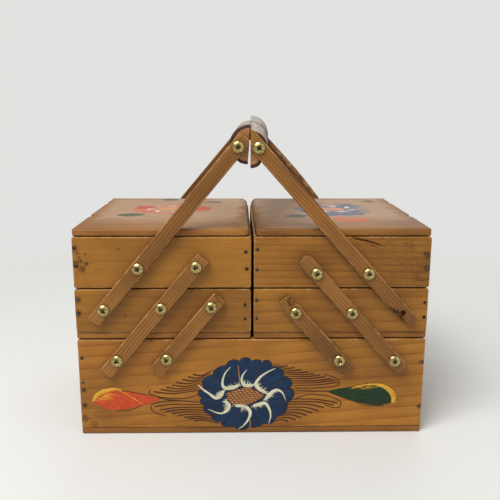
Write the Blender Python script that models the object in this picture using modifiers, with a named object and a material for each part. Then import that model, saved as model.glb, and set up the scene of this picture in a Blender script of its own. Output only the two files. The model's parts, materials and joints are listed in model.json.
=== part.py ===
"""Cantilever sewing box in pine, with four swing-out trays, two lids and a split carrying handle.

Metres, +Z up. The origin is the middle of the underside, the front of the box faces -Y, and the box
is drawn closed. On each side six parallel arms carry a middle and a top tray on the base box. Each
moving body hangs from an empty that stands on its joint's axis.
"""
import math
from dataclasses import dataclass

import bmesh
import bpy
from mathutils import Matrix, Vector

# --- Driving dimensions, in metres -------------------------------------------------------------
BOX_WIDTH = 0.290
BOX_DEPTH = 0.178
BASE_HEIGHT = 0.0846
TRAY_HEIGHT = 0.0424
TRAY_GAP = 0.0010            # between one storey and the next
CENTRE_GAP = 0.0020          # between the left and the right trays
WALL = 0.0080
BASE_FLOOR = 0.0050
TRAY_FLOOR = 0.0045
FIT_GAP = 0.0003             # left between pieces that touch
EDGE_WEAR = 0.0006           # small round on every board edge

LID_THICKNESS = 0.0062
LID_GAP = 0.0005             # between the top tray's rim and the lid
LID_SETBACK = 0.0004         # the lid's edges stand this far inside the tray's
LID_INNER_SETBACK = 0.0010   # the same, where the two lids meet
LID_NOSE_RADIUS = 0.0040     # rounded upper edge where the two lids meet

ARM_WIDTH = 0.0120
ARM_THICKNESS = 0.0060
ARM_CLEARANCE = 0.0005       # between an arm and the board behind it
ARM_CORNER = 0.0030

HANDLE_SPLIT_X = -0.0024     # the two handle halves meet at this X, a little off the middle
HANDLE_HALF_GAP = 0.0005     # from there to each half's flat face


@dataclass(frozen=True)
class Linkage:
    """The arms of one side. The maker set out each side by hand, so the two differ a little.

    A foot is the lowest pivot of an arm: its distance from the middle, and its height. Ends are the
    wood past the lowest and past the highest pivot.
    """
    lean: float              # of the closed arms from the horizontal, in degrees
    lower_span: float        # pivot spacing between base and middle tray
    upper_span: float        # pivot spacing between middle and top tray
    handle_span: float       # from the handle arm's foot to the handle screw
    middle_foot: tuple
    short_foot: tuple
    handle_foot: tuple
    middle_ends: tuple
    short_ends: tuple
    handle_ends: tuple
    handle_radii: tuple      # of the handle half, at the front and at the back
    handle_heights: tuple    # of its middle line, at the front and at the back

    def up(self, foot, span):
        """Pivot at this distance up an arm, as (distance from the middle, height)."""
        lean = math.radians(self.lean)
        return foot[0] - span * math.cos(lean), foot[1] + span * math.sin(lean)

    def spans(self, kind):
        """Distances of an arm's pivots from its foot."""
        return {"short": (0.0, self.lower_span),
                "middle": (0.0, self.lower_span, self.lower_span + self.upper_span),
                "handle": (0.0, self.upper_span, self.handle_span)}[kind]


LINKAGES = {
    "left": Linkage(lean=50.2, lower_span=0.0583, upper_span=0.0449, handle_span=0.1705,
                    middle_foot=(0.1115, 0.0685), short_foot=(0.0707, 0.0695),
                    handle_foot=(0.1206, 0.1121), middle_ends=(0.0160, 0.0100),
                    short_ends=(0.0160, 0.0110), handle_ends=(0.0140, 0.0095),
                    handle_radii=(0.0157, 0.0157), handle_heights=(0.2446, 0.2446)),
    "right": Linkage(lean=48.4, lower_span=0.0553, upper_span=0.0445, handle_span=0.1785,
                     middle_foot=(0.1180, 0.0676), short_foot=(0.0721, 0.0680),
                     handle_foot=(0.1232, 0.1089), middle_ends=(0.0110, 0.0170),
                     short_ends=(0.0130, 0.0160), handle_ends=(0.0125, 0.0150),
                     handle_radii=(0.0137, 0.0175), handle_heights=(0.2417, 0.2467)),
}

SCREW_HEAD_RADIUS = 0.0050
SCREW_HEAD_HEIGHT = 0.0028
SCREW_SHANK_RADIUS = 0.0022
SCREW_SEATING = 0.0030       # length of pivot screw drawn inside its board
HANDLE_SCREW_BITE = 0.0140   # length of handle screw inside the handle
PIVOT_CLEARANCE = 0.0003
HEAD_CLEARANCE = 0.0003

HINGE_SPACING = (-0.024, 0.055)       # Y of the two hinges of a lid
HINGE_LENGTH = 0.0120
HINGE_OVERHANG = 0.0010      # the hinge axis stands this far outside the tray
KNUCKLE_RADIUS = 0.0018
KNUCKLE_BORE = 0.00085
PIN_RADIUS = 0.0005
LEAF_THICKNESS = 0.0009
NOTCH_DEPTH = 0.0035         # of the barrel's notch in the lid's outer edge

# --- Worked-out sizes --------------------------------------------------------------------------
HALF_WIDTH = BOX_WIDTH / 2
HALF_DEPTH = BOX_DEPTH / 2
HALF_GAP = CENTRE_GAP / 2
MIDDLE_TRAY_Z = BASE_HEIGHT + TRAY_GAP
TOP_TRAY_Z = MIDDLE_TRAY_Z + TRAY_HEIGHT + TRAY_GAP
RIM_Z = TOP_TRAY_Z + TRAY_HEIGHT
LID_Z = RIM_Z + LID_GAP
LID_TOP = LID_Z + LID_THICKNESS
LID_HALF_DEPTH = HALF_DEPTH - LID_SETBACK
HINGE_X = HALF_WIDTH + HINGE_OVERHANG
HINGE_Z = RIM_Z + LID_GAP / 2
ARM_INNER = HALF_DEPTH + ARM_CLEARANCE
ARM_OUTER = ARM_INNER + ARM_THICKNESS
HEAD_UNDERSIDE = ARM_OUTER + HEAD_CLEARANCE
HOLE_RADIUS = SCREW_SHANK_RADIUS + PIVOT_CLEARANCE
HANDLE_HALF_LENGTH = ARM_INNER - FIT_GAP
ROUND_SIDES = 12
HANDLE_SIDES = 32

SIDES = {"left": -1, "right": 1}
FACES = {"front": -1, "back": 1}


# --- Scene, collections, materials -------------------------------------------------------------
def clear_scene():
    for old in list(bpy.data.objects):
        bpy.data.objects.remove(old, do_unlink=True)


def new_collection(name):
    collection = bpy.data.collections.new(name)
    bpy.context.scene.collection.children.link(collection)
    return collection


def new_material(name, colour, roughness, metallic=0.0):
    material = bpy.data.materials.new(name)
    material.use_nodes = True
    shader = material.node_tree.nodes["Principled BSDF"]
    shader.inputs["Base Color"].default_value = (*colour, 1.0)
    shader.inputs["Roughness"].default_value = roughness
    shader.inputs["Metallic"].default_value = metallic
    material.diffuse_color = (*colour, 1.0)
    return material


clear_scene()
PARTS = new_collection("sewing_basket")
CUTTERS = new_collection("sewing_basket_cutters")
BOARD_WOOD = new_material("board_pine", (0.42, 0.21, 0.07), 0.45)
FLOOR_WOOD = new_material("floor_pine", (0.36, 0.18, 0.07), 0.55)
LID_WOOD = new_material("lid_pine", (0.36, 0.22, 0.12), 0.50)
ARM_WOOD = new_material("arm_pine", (0.38, 0.18, 0.06), 0.45)
HANDLE_WOOD = new_material("handle_wood", (0.33, 0.22, 0.15), 0.50)
BRASS = new_material("screw_brass", (0.72, 0.60, 0.28), 0.30, 1.0)
HINGE_STEEL = new_material("hinge_steel", (0.16, 0.14, 0.12), 0.45, 1.0)


# --- Bodies: one empty for each, on its joint's axis -------------------------------------------
def add_pivot(name, at, parent=None):
    """Empty at a place in the world. Its place is kept on it, for what hangs from it."""
    empty = bpy.data.objects.new(name, None)
    empty.empty_display_size = 0.02
    PARTS.objects.link(empty)
    hang(empty, at, parent)
    empty["place"] = tuple(at)
    return empty


def hang(thing, at, parent):
    """Hang an object from a body, at a place given in world coordinates."""
    thing.parent = parent
    thing.location = Vector(at) - (Vector(parent["place"]) if parent else Vector())


def add_side_pivots(side, root):
    """The bodies of one side, with the empties chained as the joints are."""
    link, sign = LINKAGES[side], SIDES[side]

    def at(pivot):
        return sign * pivot[0], 0, pivot[1]

    arms = add_pivot(f"{side}_middle_arms", at(link.middle_foot), root)
    shorts = add_pivot(f"{side}_short_arms", at(link.short_foot), root)
    waist, head = (link.up(link.middle_foot, span) for span in link.spans("middle")[1:])
    middle = add_pivot(f"{side}_middle_tray", at(waist), arms)
    top = add_pivot(f"{side}_top_tray", at(head), arms)
    handle = add_pivot(f"{side}_handle", at(link.handle_foot), middle)
    lid = add_pivot(f"{side}_lid_swing", at((HINGE_X, HINGE_Z)), top)
    return {"arms": arms, "shorts": shorts, "middle": middle, "top": top, "handle": handle,
            "lid": lid}


# --- Solids ------------------------------------------------------------------------------------
def add_object(name, body, at, material=None, collection=None, build=None):
    """Object whose mesh the build function fills in a new bmesh."""
    mesh = bpy.data.meshes.new(name)
    shape = bmesh.new()
    build(shape)
    shape.to_mesh(mesh)
    shape.free()
    thing = bpy.data.objects.new(name, mesh)
    (collection or PARTS).objects.link(thing)
    if material:
        mesh.materials.append(material)
    hang(thing, at, body)
    return thing


def make_cutter(thing):
    thing.hide_render = True
    thing.display_type = "WIRE"
    return thing


def box_builder(size):
    def build(shape):
        bmesh.ops.create_cube(shape, size=1.0, matrix=Matrix.Diagonal((*size, 1.0)))
    return build


def rod_builder(radius, length, sides=ROUND_SIDES):
    """Rod along Y, centred on the object's origin."""
    def build(shape):
        bmesh.ops.create_cone(shape, cap_ends=True, segments=sides, radius1=radius, radius2=radius,
                              depth=length, matrix=Matrix.Rotation(math.pi / 2, 4, "X"))
    return build


def middle_and_size(low, high):
    low, high = Vector(low), Vector(high)
    return (low + high) / 2, high - low


def soften(thing, width=EDGE_WEAR):
    bevel = thing.modifiers.new("worn_edges", "BEVEL")
    bevel.width = width
    bevel.segments = 1
    bevel.limit_method = "ANGLE"
    bevel.angle_limit = math.radians(40)


def combine(thing, other, operation="DIFFERENCE"):
    step = thing.modifiers.new(other.name, "BOOLEAN")
    step.operation = operation
    step.solver = "EXACT"
    step.object = other


def add_board(name, body, low, high, material):
    centre, size = middle_and_size(low, high)
    board = add_object(name, body, centre, material, build=box_builder(size))
    soften(board)
    return board


def add_box_cutter(name, body, low, high):
    centre, size = middle_and_size(low, high)
    return make_cutter(add_object(name, body, centre, collection=CUTTERS, build=box_builder(size)))


def add_rod_cutter(name, body, at, radius, length, sides=ROUND_SIDES):
    build = rod_builder(radius, length, sides)
    return make_cutter(add_object(name, body, at, collection=CUTTERS, build=build))


def mirrored(sign, near, far):
    """A span of X given outward from the middle, put in rising order for one side."""
    return (near, far) if sign > 0 else (-far, -near)


# --- Screws ------------------------------------------------------------------------------------
def screw_profile(tip, head_height):
    """Half-section from the crown of the domed head down to the tip, as (radius, height)."""
    arc = [math.radians(a) for a in (0, 30, 60, 85)]
    crown = [(SCREW_HEAD_RADIUS * math.sin(a), head_height + SCREW_HEAD_HEIGHT * math.cos(a))
             for a in arc]
    return crown + [(SCREW_HEAD_RADIUS, head_height), (SCREW_SHANK_RADIUS, head_height),
                    (SCREW_SHANK_RADIUS, tip), (0.0, tip)]


def add_turned_screw(name, body, pivot_x, pivot_z, face, origin_depth, tip, material, collection):
    """Round-head screw that points out of the front or back face.

    Heights in its profile run outward from its origin, which lies origin_depth from the middle.
    """
    sign = FACES[face]

    def build(shape):
        points = screw_profile(tip, HEAD_UNDERSIDE - origin_depth)
        line = [shape.verts.new((radius, 0.0, height)) for radius, height in points]
        for first, second in zip(line, line[1:]):
            shape.edges.new((first, second))

    screw = add_object(name, body, (pivot_x, sign * origin_depth, pivot_z), material, collection,
                       build)
    screw.rotation_euler = (-sign * math.pi / 2, 0, 0)
    turn = screw.modifiers.new("turn", "SCREW")
    turn.axis = "Z"
    turn.steps = turn.render_steps = ROUND_SIDES
    turn.use_merge_vertices = True
    turn.merge_threshold = 0.00001
    turn.use_smooth_shade = True
    return screw


def fit_pivot_screws(board, body, side, face, pivots):
    """Join a board with the pivot screws that are driven into it."""
    for label, (x, z) in pivots.items():
        name = f"{side}_{label}_screw_{face}"
        screw = add_turned_screw(name, body, SIDES[side] * x, z, face, HALF_DEPTH, -SCREW_SEATING,
                                 BRASS, CUTTERS)
        combine(board, make_cutter(screw), "UNION")


# --- Base box ----------------------------------------------------------------------------------
def base_pivots(link):
    return {"middle_arm_foot": link.middle_foot, "short_arm_foot": link.short_foot}


def add_base(root):
    low_z = BASE_FLOOR + FIT_GAP
    for face, sign in FACES.items():
        inner, outer = HALF_DEPTH - WALL, HALF_DEPTH
        low_y, high_y = mirrored(sign, inner, outer)
        board = add_board(f"base_{face}_board", root, (-HALF_WIDTH, low_y, low_z),
                          (HALF_WIDTH, high_y, BASE_HEIGHT), BOARD_WOOD)
        for side in SIDES:
            fit_pivot_screws(board, root, side, face, base_pivots(LINKAGES[side]))
    end_y = HALF_DEPTH - WALL - FIT_GAP
    for side, sign in SIDES.items():
        low_x, high_x = mirrored(sign, HALF_WIDTH - WALL, HALF_WIDTH)
        add_board(f"base_{side}_end", root, (low_x, -end_y, low_z), (high_x, end_y, BASE_HEIGHT),
                  BOARD_WOOD)
    add_board("base_floor", root, (-HALF_WIDTH, -HALF_DEPTH, 0.0), (HALF_WIDTH, HALF_DEPTH, BASE_FLOOR),
              FLOOR_WOOD)


# --- Trays -------------------------------------------------------------------------------------
def add_tray(side, storey, body, bottom, pivots):
    """Open tray of four nailed boards on a floor panel. Returns its outer end board.

    A top tray's panel is let in between its front and back boards, and a middle tray's is not.
    """
    sign = SIDES[side]
    prefix = f"{side}_{storey}_tray"
    let_in = storey == "top"
    low_z, top_z = bottom + TRAY_FLOOR + FIT_GAP, bottom + TRAY_HEIGHT
    low_x, high_x = mirrored(sign, HALF_GAP, HALF_WIDTH)
    panel_y = HALF_DEPTH - WALL - FIT_GAP if let_in else HALF_DEPTH
    add_board(f"{prefix}_floor", body, (low_x, -panel_y, bottom),
              (high_x, panel_y, bottom + TRAY_FLOOR), FLOOR_WOOD)
    for face, face_sign in FACES.items():
        low_y, high_y = mirrored(face_sign, HALF_DEPTH - WALL, HALF_DEPTH)
        board = add_board(f"{prefix}_{face}_board", body, (low_x, low_y, bottom if let_in else low_z),
                          (high_x, high_y, top_z), BOARD_WOOD)
        kept = {label: at for label, at in pivots.items()
                if (side, face, label) != ("right", "front", "handle_arm_foot")}
        fit_pivot_screws(board, body, side, face, kept)
    end_y = HALF_DEPTH - WALL - FIT_GAP
    ends = {"inner": HALF_GAP, "outer": HALF_WIDTH - WALL}
    boards = {}
    for end, near in ends.items():
        end_low, end_high = mirrored(sign, near, near + WALL)
        boards[end] = add_board(f"{prefix}_{end}_end", body, (end_low, -end_y, low_z),
                                (end_high, end_y, top_z), BOARD_WOOD)
    return boards["outer"]


def middle_tray_pivots(link):
    return {"handle_arm_foot": link.handle_foot,
            "middle_arm_waist": link.up(link.middle_foot, link.lower_span),
            "short_arm_head": link.up(link.short_foot, link.lower_span)}


def top_tray_pivots(link):
    return {"handle_arm_waist": link.up(link.handle_foot, link.upper_span),
            "middle_arm_head": link.up(link.middle_foot, link.lower_span + link.upper_span)}


# --- Lids and their hinges ---------------------------------------------------------------------
def add_lid(side, body):
    """Board with its upper inner edge rounded over."""
    sign = SIDES[side]
    low_x, high_x = mirrored(sign, HALF_GAP + LID_INNER_SETBACK, HALF_WIDTH - LID_SETBACK)
    centre, size = middle_and_size((low_x, -LID_HALF_DEPTH, LID_Z), (high_x, LID_HALF_DEPTH, LID_TOP))

    def build(shape):
        box_builder(size)(shape)
        nose = [edge for edge in shape.edges
                if all(v.co.x * sign < 0 and v.co.z > 0 for v in edge.verts)]
        bmesh.ops.bevel(shape, geom=nose, offset=LID_NOSE_RADIUS, segments=4, profile=0.5,
                        affect="EDGES")

    lid = add_object(f"{side}_lid", body, centre, LID_WOOD, build=build)
    soften(lid)
    return lid


def knuckle_spans(count=3):
    """Y spans of the barrel's knuckles, from front to back, with a gap between each two."""
    pitch = (HINGE_LENGTH + FIT_GAP) / count
    first = -HINGE_LENGTH / 2
    return [(first + n * pitch, first + (n + 1) * pitch - FIT_GAP) for n in range(count)]


def add_leaf(name, body, sign, hinge_y, low_z, knuckles):
    """Hinge leaf: a plate let into the wood, tabs, and knuckles bored for the pin."""
    plate_near, plate_far = HALF_WIDTH - WALL + FIT_GAP, HINGE_X - KNUCKLE_RADIUS - 2 * FIT_GAP
    low_x, high_x = mirrored(sign, plate_near, plate_far)
    half = HINGE_LENGTH / 2
    centre, size = middle_and_size((low_x, hinge_y - half, low_z),
                                   (high_x, hinge_y + half, low_z + LEAF_THICKNESS))
    leaf = add_object(name, body, centre, HINGE_STEEL, build=box_builder(size))
    for number, (start, end) in enumerate(knuckles):
        tab_low, tab_high = mirrored(sign, plate_far - FIT_GAP, HINGE_X - KNUCKLE_BORE)
        tab = add_box_cutter(f"{name}_tab_{number}", body, (tab_low, hinge_y + start, low_z),
                             (tab_high, hinge_y + end, low_z + LEAF_THICKNESS))
        combine(leaf, tab, "UNION")
        at = (sign * HINGE_X, hinge_y + (start + end) / 2, HINGE_Z)
        combine(leaf, add_rod_cutter(f"{name}_knuckle_{number}", body, at, KNUCKLE_RADIUS,
                                     end - start), "UNION")
    bore = add_rod_cutter(f"{name}_bore", body, (sign * HINGE_X, hinge_y, HINGE_Z), KNUCKLE_BORE,
                          2 * HINGE_LENGTH)
    combine(leaf, bore)
    return leaf


def notch_for_hinge(board, body, name, sign, hinge_y, depth, low_z, high_z):
    """Cut a notch of this depth in a board's outer edge, over the hinge's length."""
    half = HINGE_LENGTH / 2 + FIT_GAP
    low_x, high_x = mirrored(sign, HALF_WIDTH - depth, HINGE_X)
    cutter = add_box_cutter(f"{name}_cutter", body, (low_x, hinge_y - half, low_z),
                            (high_x, hinge_y + half, high_z))
    combine(board, cutter)


def add_hinge(side, place, hinge_y, bodies, end_board, lid):
    """Small steel butt hinge, its barrel standing in a notch at the lid's outer edge."""
    sign = SIDES[side]
    name = f"{side}_lid_hinge_{place}"
    front, middle, back = knuckle_spans()
    lower_leaf_z = RIM_Z - LEAF_THICKNESS
    add_leaf(f"{name}_tray_leaf", bodies["top"], sign, hinge_y, lower_leaf_z, (front, back))
    add_leaf(f"{name}_lid_leaf", bodies["lid"], sign, hinge_y, LID_Z, (middle,))
    add_object(f"{name}_pin", bodies["top"], (sign * HINGE_X, hinge_y, HINGE_Z), HINGE_STEEL,
               build=rod_builder(PIN_RADIUS, HINGE_LENGTH + 2 * FIT_GAP, 8))
    barrel_depth = HALF_WIDTH - (HINGE_X - KNUCKLE_RADIUS) + 2 * FIT_GAP
    barrel_bottom = HINGE_Z - KNUCKLE_RADIUS - FIT_GAP
    across = WALL + FIT_GAP
    notch_for_hinge(end_board, bodies["top"], f"{name}_barrel_seat", sign, hinge_y, barrel_depth,
                    barrel_bottom, LID_Z)
    notch_for_hinge(end_board, bodies["top"], f"{name}_leaf_seat", sign, hinge_y, across,
                    lower_leaf_z - FIT_GAP, LID_Z)
    notch_for_hinge(lid, bodies["lid"], f"{name}_lid_notch", sign, hinge_y, NOTCH_DEPTH,
                    RIM_Z, LID_TOP + FIT_GAP)
    notch_for_hinge(lid, bodies["lid"], f"{name}_lid_seat", sign, hinge_y, across,
                    RIM_Z, LID_Z + LEAF_THICKNESS + FIT_GAP)


# --- Arms --------------------------------------------------------------------------------------
def add_arm(kind, body, side, face, foot, ends, trim=None):
    """Flat bar with rounded corners, drilled at each pivot. Its origin is its lowest pivot."""
    sign, link = SIDES[side], LINKAGES[side]
    name = f"{side}_{kind}_arm_{face}"
    spans = link.spans(kind)
    below, above = ends
    length = below + spans[-1] + above
    middle_y = FACES[face] * (ARM_INNER + ARM_THICKNESS / 2)

    def build(shape):
        size = (length, ARM_THICKNESS, ARM_WIDTH)
        shift = Matrix.Translation((length / 2 - below, 0, 0))
        bmesh.ops.create_cube(shape, size=1.0, matrix=shift @ Matrix.Diagonal((*size, 1.0)))
        corners = [edge for edge in shape.edges
                   if abs(edge.verts[0].co.y - edge.verts[1].co.y) > ARM_THICKNESS / 2]
        bmesh.ops.bevel(shape, geom=corners, offset=ARM_CORNER, segments=3, profile=0.5,
                        affect="EDGES")

    arm = add_object(name, body, (sign * foot[0], middle_y, foot[1]), ARM_WOOD, build=build)
    lean = math.radians(link.lean)
    arm.rotation_euler = (0, -lean if side == "left" else lean - math.pi, 0)
    soften(arm)
    if trim:
        combine(arm, trim)
    for number, span in enumerate(spans):
        x, z = link.up(foot, span)
        hole = add_rod_cutter(f"{name}_hole_{number}", body, (sign * x, middle_y, z), HOLE_RADIUS,
                              2 * ARM_THICKNESS)
        combine(arm, hole)
    return arm


# --- Handle ------------------------------------------------------------------------------------
def add_trim(side, body):
    """Cutter over everything on the far side of this half's flat face."""
    reach = 4 * max(LINKAGES[side].handle_radii)
    height = LINKAGES[side].handle_heights[0]
    face_x = HANDLE_SPLIT_X + SIDES[side] * HANDLE_HALF_GAP
    low_x, high_x = sorted((face_x, face_x - SIDES[side] * reach))
    return add_box_cutter(f"{side}_handle_trim", body, (low_x, -2 * HALF_DEPTH, height - reach),
                          (high_x, 2 * HALF_DEPTH, height + reach))


def add_handle_half(side, body, trim):
    """Half of a round stick, bored at both ends for the screws that hold it on its arms."""
    link = LINKAGES[side]
    (front_radius, back_radius), (front_z, back_z) = link.handle_radii, link.handle_heights
    length = 2 * HANDLE_HALF_LENGTH

    def build(shape):
        bmesh.ops.create_cone(shape, cap_ends=True, segments=HANDLE_SIDES, radius1=back_radius,
                              radius2=front_radius, depth=length,
                              matrix=Matrix.Rotation(math.pi / 2, 4, "X"))
        for vertex in shape.verts:
            vertex.co.z += vertex.co.y * (back_z - front_z) / length

    half = add_object(f"{side}_handle_half", body, (HANDLE_SPLIT_X, 0, (front_z + back_z) / 2),
                      HANDLE_WOOD, build=build)
    combine(half, trim)
    x, z = link.up(link.handle_foot, link.handle_span)
    depth = HANDLE_SCREW_BITE + 2 * FIT_GAP
    for face, sign in FACES.items():
        bore = add_rod_cutter(f"{side}_handle_bore_{face}", body,
                              (SIDES[side] * x, sign * HANDLE_HALF_LENGTH, z), HOLE_RADIUS, 2 * depth)
        combine(half, bore)
        add_turned_screw(f"{side}_handle_screw_{face}", body, SIDES[side] * x, z, face,
                         HANDLE_HALF_LENGTH, -HANDLE_SCREW_BITE, BRASS, PARTS)
    return half


# --- Assembly ----------------------------------------------------------------------------------
def add_side(side, root):
    link = LINKAGES[side]
    bodies = add_side_pivots(side, root)
    add_tray(side, "middle", bodies["middle"], MIDDLE_TRAY_Z, middle_tray_pivots(link))
    end_board = add_tray(side, "top", bodies["top"], TOP_TRAY_Z, top_tray_pivots(link))
    lid = add_lid(side, bodies["lid"])
    for place, hinge_y in zip(FACES, HINGE_SPACING):
        add_hinge(side, place, hinge_y, bodies, end_board, lid)
    trim = add_trim(side, bodies["handle"])
    for face in FACES:
        add_arm("short", bodies["shorts"], side, face, link.short_foot, link.short_ends)
        add_arm("middle", bodies["arms"], side, face, link.middle_foot, link.middle_ends)
        add_arm("handle", bodies["handle"], side, face, link.handle_foot, link.handle_ends, trim)
    add_handle_half(side, bodies["handle"], trim)


def add_sewing_basket():
    root = add_pivot("base", (0, 0, 0))
    add_base(root)
    for side in SIDES:
        add_side(side, root)


add_sewing_basket()
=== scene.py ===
"""Looks of the cantilever sewing box: varnished pine, brass screws and hand-painted flowers.

Metres, +Z up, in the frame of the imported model, and the front of the box faces -Y. Every board, arm,
lid and handle half is made again with worn edges and its own piece of timber, in the space of its CAD
solid, and rides on the same body. The tables of spots, nails and painted strokes are in millimetres.
"""
import json
import math
import random
from dataclasses import dataclass

import bmesh
import bpy
from mathutils import Matrix, Vector, noise


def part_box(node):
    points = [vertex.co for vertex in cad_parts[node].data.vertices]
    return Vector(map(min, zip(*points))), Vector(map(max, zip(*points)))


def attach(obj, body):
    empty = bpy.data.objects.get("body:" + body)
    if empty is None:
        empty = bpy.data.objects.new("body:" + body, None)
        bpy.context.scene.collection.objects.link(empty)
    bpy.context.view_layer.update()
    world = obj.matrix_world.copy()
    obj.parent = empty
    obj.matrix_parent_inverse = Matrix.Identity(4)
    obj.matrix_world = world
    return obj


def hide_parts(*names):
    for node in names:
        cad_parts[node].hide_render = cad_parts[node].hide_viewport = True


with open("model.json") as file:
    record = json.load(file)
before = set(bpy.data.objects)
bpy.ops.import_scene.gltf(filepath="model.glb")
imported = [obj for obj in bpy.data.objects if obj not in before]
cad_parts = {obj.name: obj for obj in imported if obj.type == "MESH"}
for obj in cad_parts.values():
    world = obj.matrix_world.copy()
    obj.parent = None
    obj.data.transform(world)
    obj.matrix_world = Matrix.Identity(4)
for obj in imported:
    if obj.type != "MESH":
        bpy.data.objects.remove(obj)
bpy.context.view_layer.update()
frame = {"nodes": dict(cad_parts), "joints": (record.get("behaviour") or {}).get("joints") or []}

MM = 0.001
SIDES = {"left": -1, "right": 1}
FACES = {"front": -1, "back": 1}
JOINTS = {joint["name"]: joint for joint in frame["joints"]}


# --- Places, read from the frame ---------------------------------------------------------------
def read_linkage(side):
    """Pivots of one side's arms, seen from the front as (x, z), each from foot to head."""
    def pivot(joint):
        x, _, z = JOINTS[f"{side}_{joint}"]["pos_m"]
        return Vector((x, z))

    foot, waist, head = map(pivot, ("side_opening", "middle_tray_levelling", "top_tray_levelling"))
    short_foot, handle_foot = map(pivot, ("short_arm_swing", "handle_arm_swing"))
    low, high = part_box(f"{side}_handle_screw_front")
    grip = Vector(((low.x + high.x) / 2, (low.z + high.z) / 2))
    return {"middle": [foot, waist, head], "short": [short_foot, short_foot + waist - foot],
            "handle": [handle_foot, handle_foot + head - waist, grip]}


LINKAGES = {side: read_linkage(side) for side in SIDES}
ARM_FACE = -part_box("left_middle_arm_front")[0].y        # the arms' outer faces, from the middle
HEAD_SEAT = ARM_FACE + 0.3 * MM                         # underside of the screw heads
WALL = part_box("base_left_end")[1].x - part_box("base_left_end")[0].x
FRONT_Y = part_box("base_floor")[0].y
LID_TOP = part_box("left_lid")[1].z


def board_box(node):
    """Box of a board without the screw heads that its CAD solid carries."""
    low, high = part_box(node)
    if node.endswith("front_board"):
        low.y = high.y - WALL
    if node.endswith("back_board"):
        high.y = low.y + WALL
    return low, high


# --- Numbers -----------------------------------------------------------------------------------
def srgb(red, green, blue):
    """Linear colour from the usual 0 to 255 values."""
    def linear(value):
        value /= 255
        return value / 12.92 if value <= 0.04045 else ((value + 0.055) / 1.055) ** 2.4
    return linear(red), linear(green), linear(blue), 1.0


def ease(low, high, value):
    share = min(max((value - low) / (high - low), 0.0), 1.0)
    return share * share * (3 - 2 * share)


def rough(point, frequency, seed):
    """Noise from -1 to 1 over a plane."""
    return noise.noise(Vector((point[0] * frequency, point[1] * frequency, seed)))


def heading(turn):
    """Unit vector of a plane, at an angle in radians."""
    return Vector((math.cos(turn), math.sin(turn)))


def left_of(along):
    """A plane vector after a quarter turn to the left."""
    return Vector((-along.y, along.x))


def ellipse(centre, reach_x, reach_y, count=8):
    """Points round an ellipse, counter-clockwise."""
    turns = [math.radians(360 / count * k) for k in range(count)]
    return [(centre[0] + reach_x * math.cos(a), centre[1] + reach_y * math.sin(a)) for a in turns]


# --- Node materials ----------------------------------------------------------------------------
SPECULAR = 0.28                  # specular level of wood and paint


class Shader:
    """A node material, made one node at a time. Inputs are numbers, colours or sockets."""

    def __init__(self, name, roughness, metallic=0.0):
        self.material = bpy.data.materials.new(name)
        self.material.use_nodes = True
        self.tree = self.material.node_tree
        self.surface = self.tree.nodes["Principled BSDF"]
        self.feed("Roughness", roughness)
        self.feed("Metallic", metallic)
        self.feed("Specular IOR Level", SPECULAR)

    def connect(self, socket, value):
        if isinstance(value, bpy.types.NodeSocket):
            self.tree.links.new(value, socket)
        else:
            socket.default_value = value

    def feed(self, socket, value):
        self.connect(self.surface.inputs[socket], value)

    def node(self, kind, inputs, output=0, **settings):
        made = self.tree.nodes.new("ShaderNode" + kind)
        for setting, value in settings.items():
            setattr(made, setting, value)
        for socket, value in inputs.items():
            self.connect(made.inputs[socket], value)
        return made.outputs[output]

    def maths(self, operation, first, second=0.0):
        return self.node("Math", {0: first, 1: second}, operation=operation)

    def times(self, first, *others):
        """Product of numbers or sockets."""
        for other in others:
            first = self.maths("MULTIPLY", first, other)
        return first

    def swing(self, value, amount):
        """Noise from 0 to 1, turned into a swing to both sides of zero."""
        return self.times(self.maths("SUBTRACT", value, 0.5), amount)

    def band(self, value, low, high, start=0.0, end=1.0):
        """Smooth step of a value from low to high."""
        return self.node("MapRange", {"Value": value, "From Min": low, "From Max": high,
                                      "To Min": start, "To Max": end},
                         interpolation_type="SMOOTHSTEP")

    def attribute(self, name, output="Vector"):
        return self.node("Attribute", {}, output, attribute_name=name)

    def place(self):
        """Position in the rest frame."""
        return self.node("TexCoord", {}, "Object")

    def split(self, vector):
        """The three numbers of a vector."""
        return self.node("SeparateXYZ", {0: vector}).node.outputs[:3]

    def length(self, vector):
        return self.node("VectorMath", {0: vector}, "Value", operation="LENGTH")

    def stretched(self, vector, along):
        """Vector for a pattern drawn out along X, where along is less than 1."""
        return self.node("Mapping", {"Vector": vector, "Scale": (along, 1.0, 1.0)})

    def noise(self, vector, scale, detail=2.0, roughness=0.5, along=1.0):
        if along != 1.0:
            vector = self.stretched(vector, along)
        return self.node("TexNoise", {"Vector": vector, "Scale": scale, "Detail": detail,
                                      "Roughness": roughness})

    def mix(self, factor, first, second):
        return self.node("Mix", {0: factor, 6: first, 7: second}, 2, data_type="RGBA",
                         clamp_factor=True)

    def ramp(self, value, stops):
        """Colour ramp through (position, colour) stops."""
        made = self.tree.nodes.new("ShaderNodeValToRGB")
        points = made.color_ramp.elements
        while len(points) < len(stops):
            points.new(0.5)
        for point, (position, colour) in zip(points, stops):
            point.position = position
            point.color = colour
        self.connect(made.inputs[0], value)
        return made.outputs[0]

    def shade(self, colour, amount):
        """Colour made brighter or darker by a number."""
        return self.node("VectorMath", {0: colour, "Scale": amount}, operation="SCALE")

    def finished(self, colour, height, depth, roughness=None):
        """The material, once its colour, relief and roughness are fed in."""
        self.feed("Base Color", colour)
        self.feed("Normal", self.node("Bump", {"Height": height, "Distance": depth}))
        if roughness is not None:
            self.feed("Roughness", roughness)
        return self.material


@dataclass(frozen=True)
class WoodLook:
    early: tuple                 # colour of the soft wood between the growth lines
    late: tuple                  # colour of the growth lines
    bare: tuple                  # where the varnish is rubbed off the edges
    polish: float = 0.40         # roughness of the varnish
    ring_scale: float = 62.0     # 0.314 over this is the ring spacing in metres
    end_dark: float = 0.62       # brightness of end grain


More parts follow.
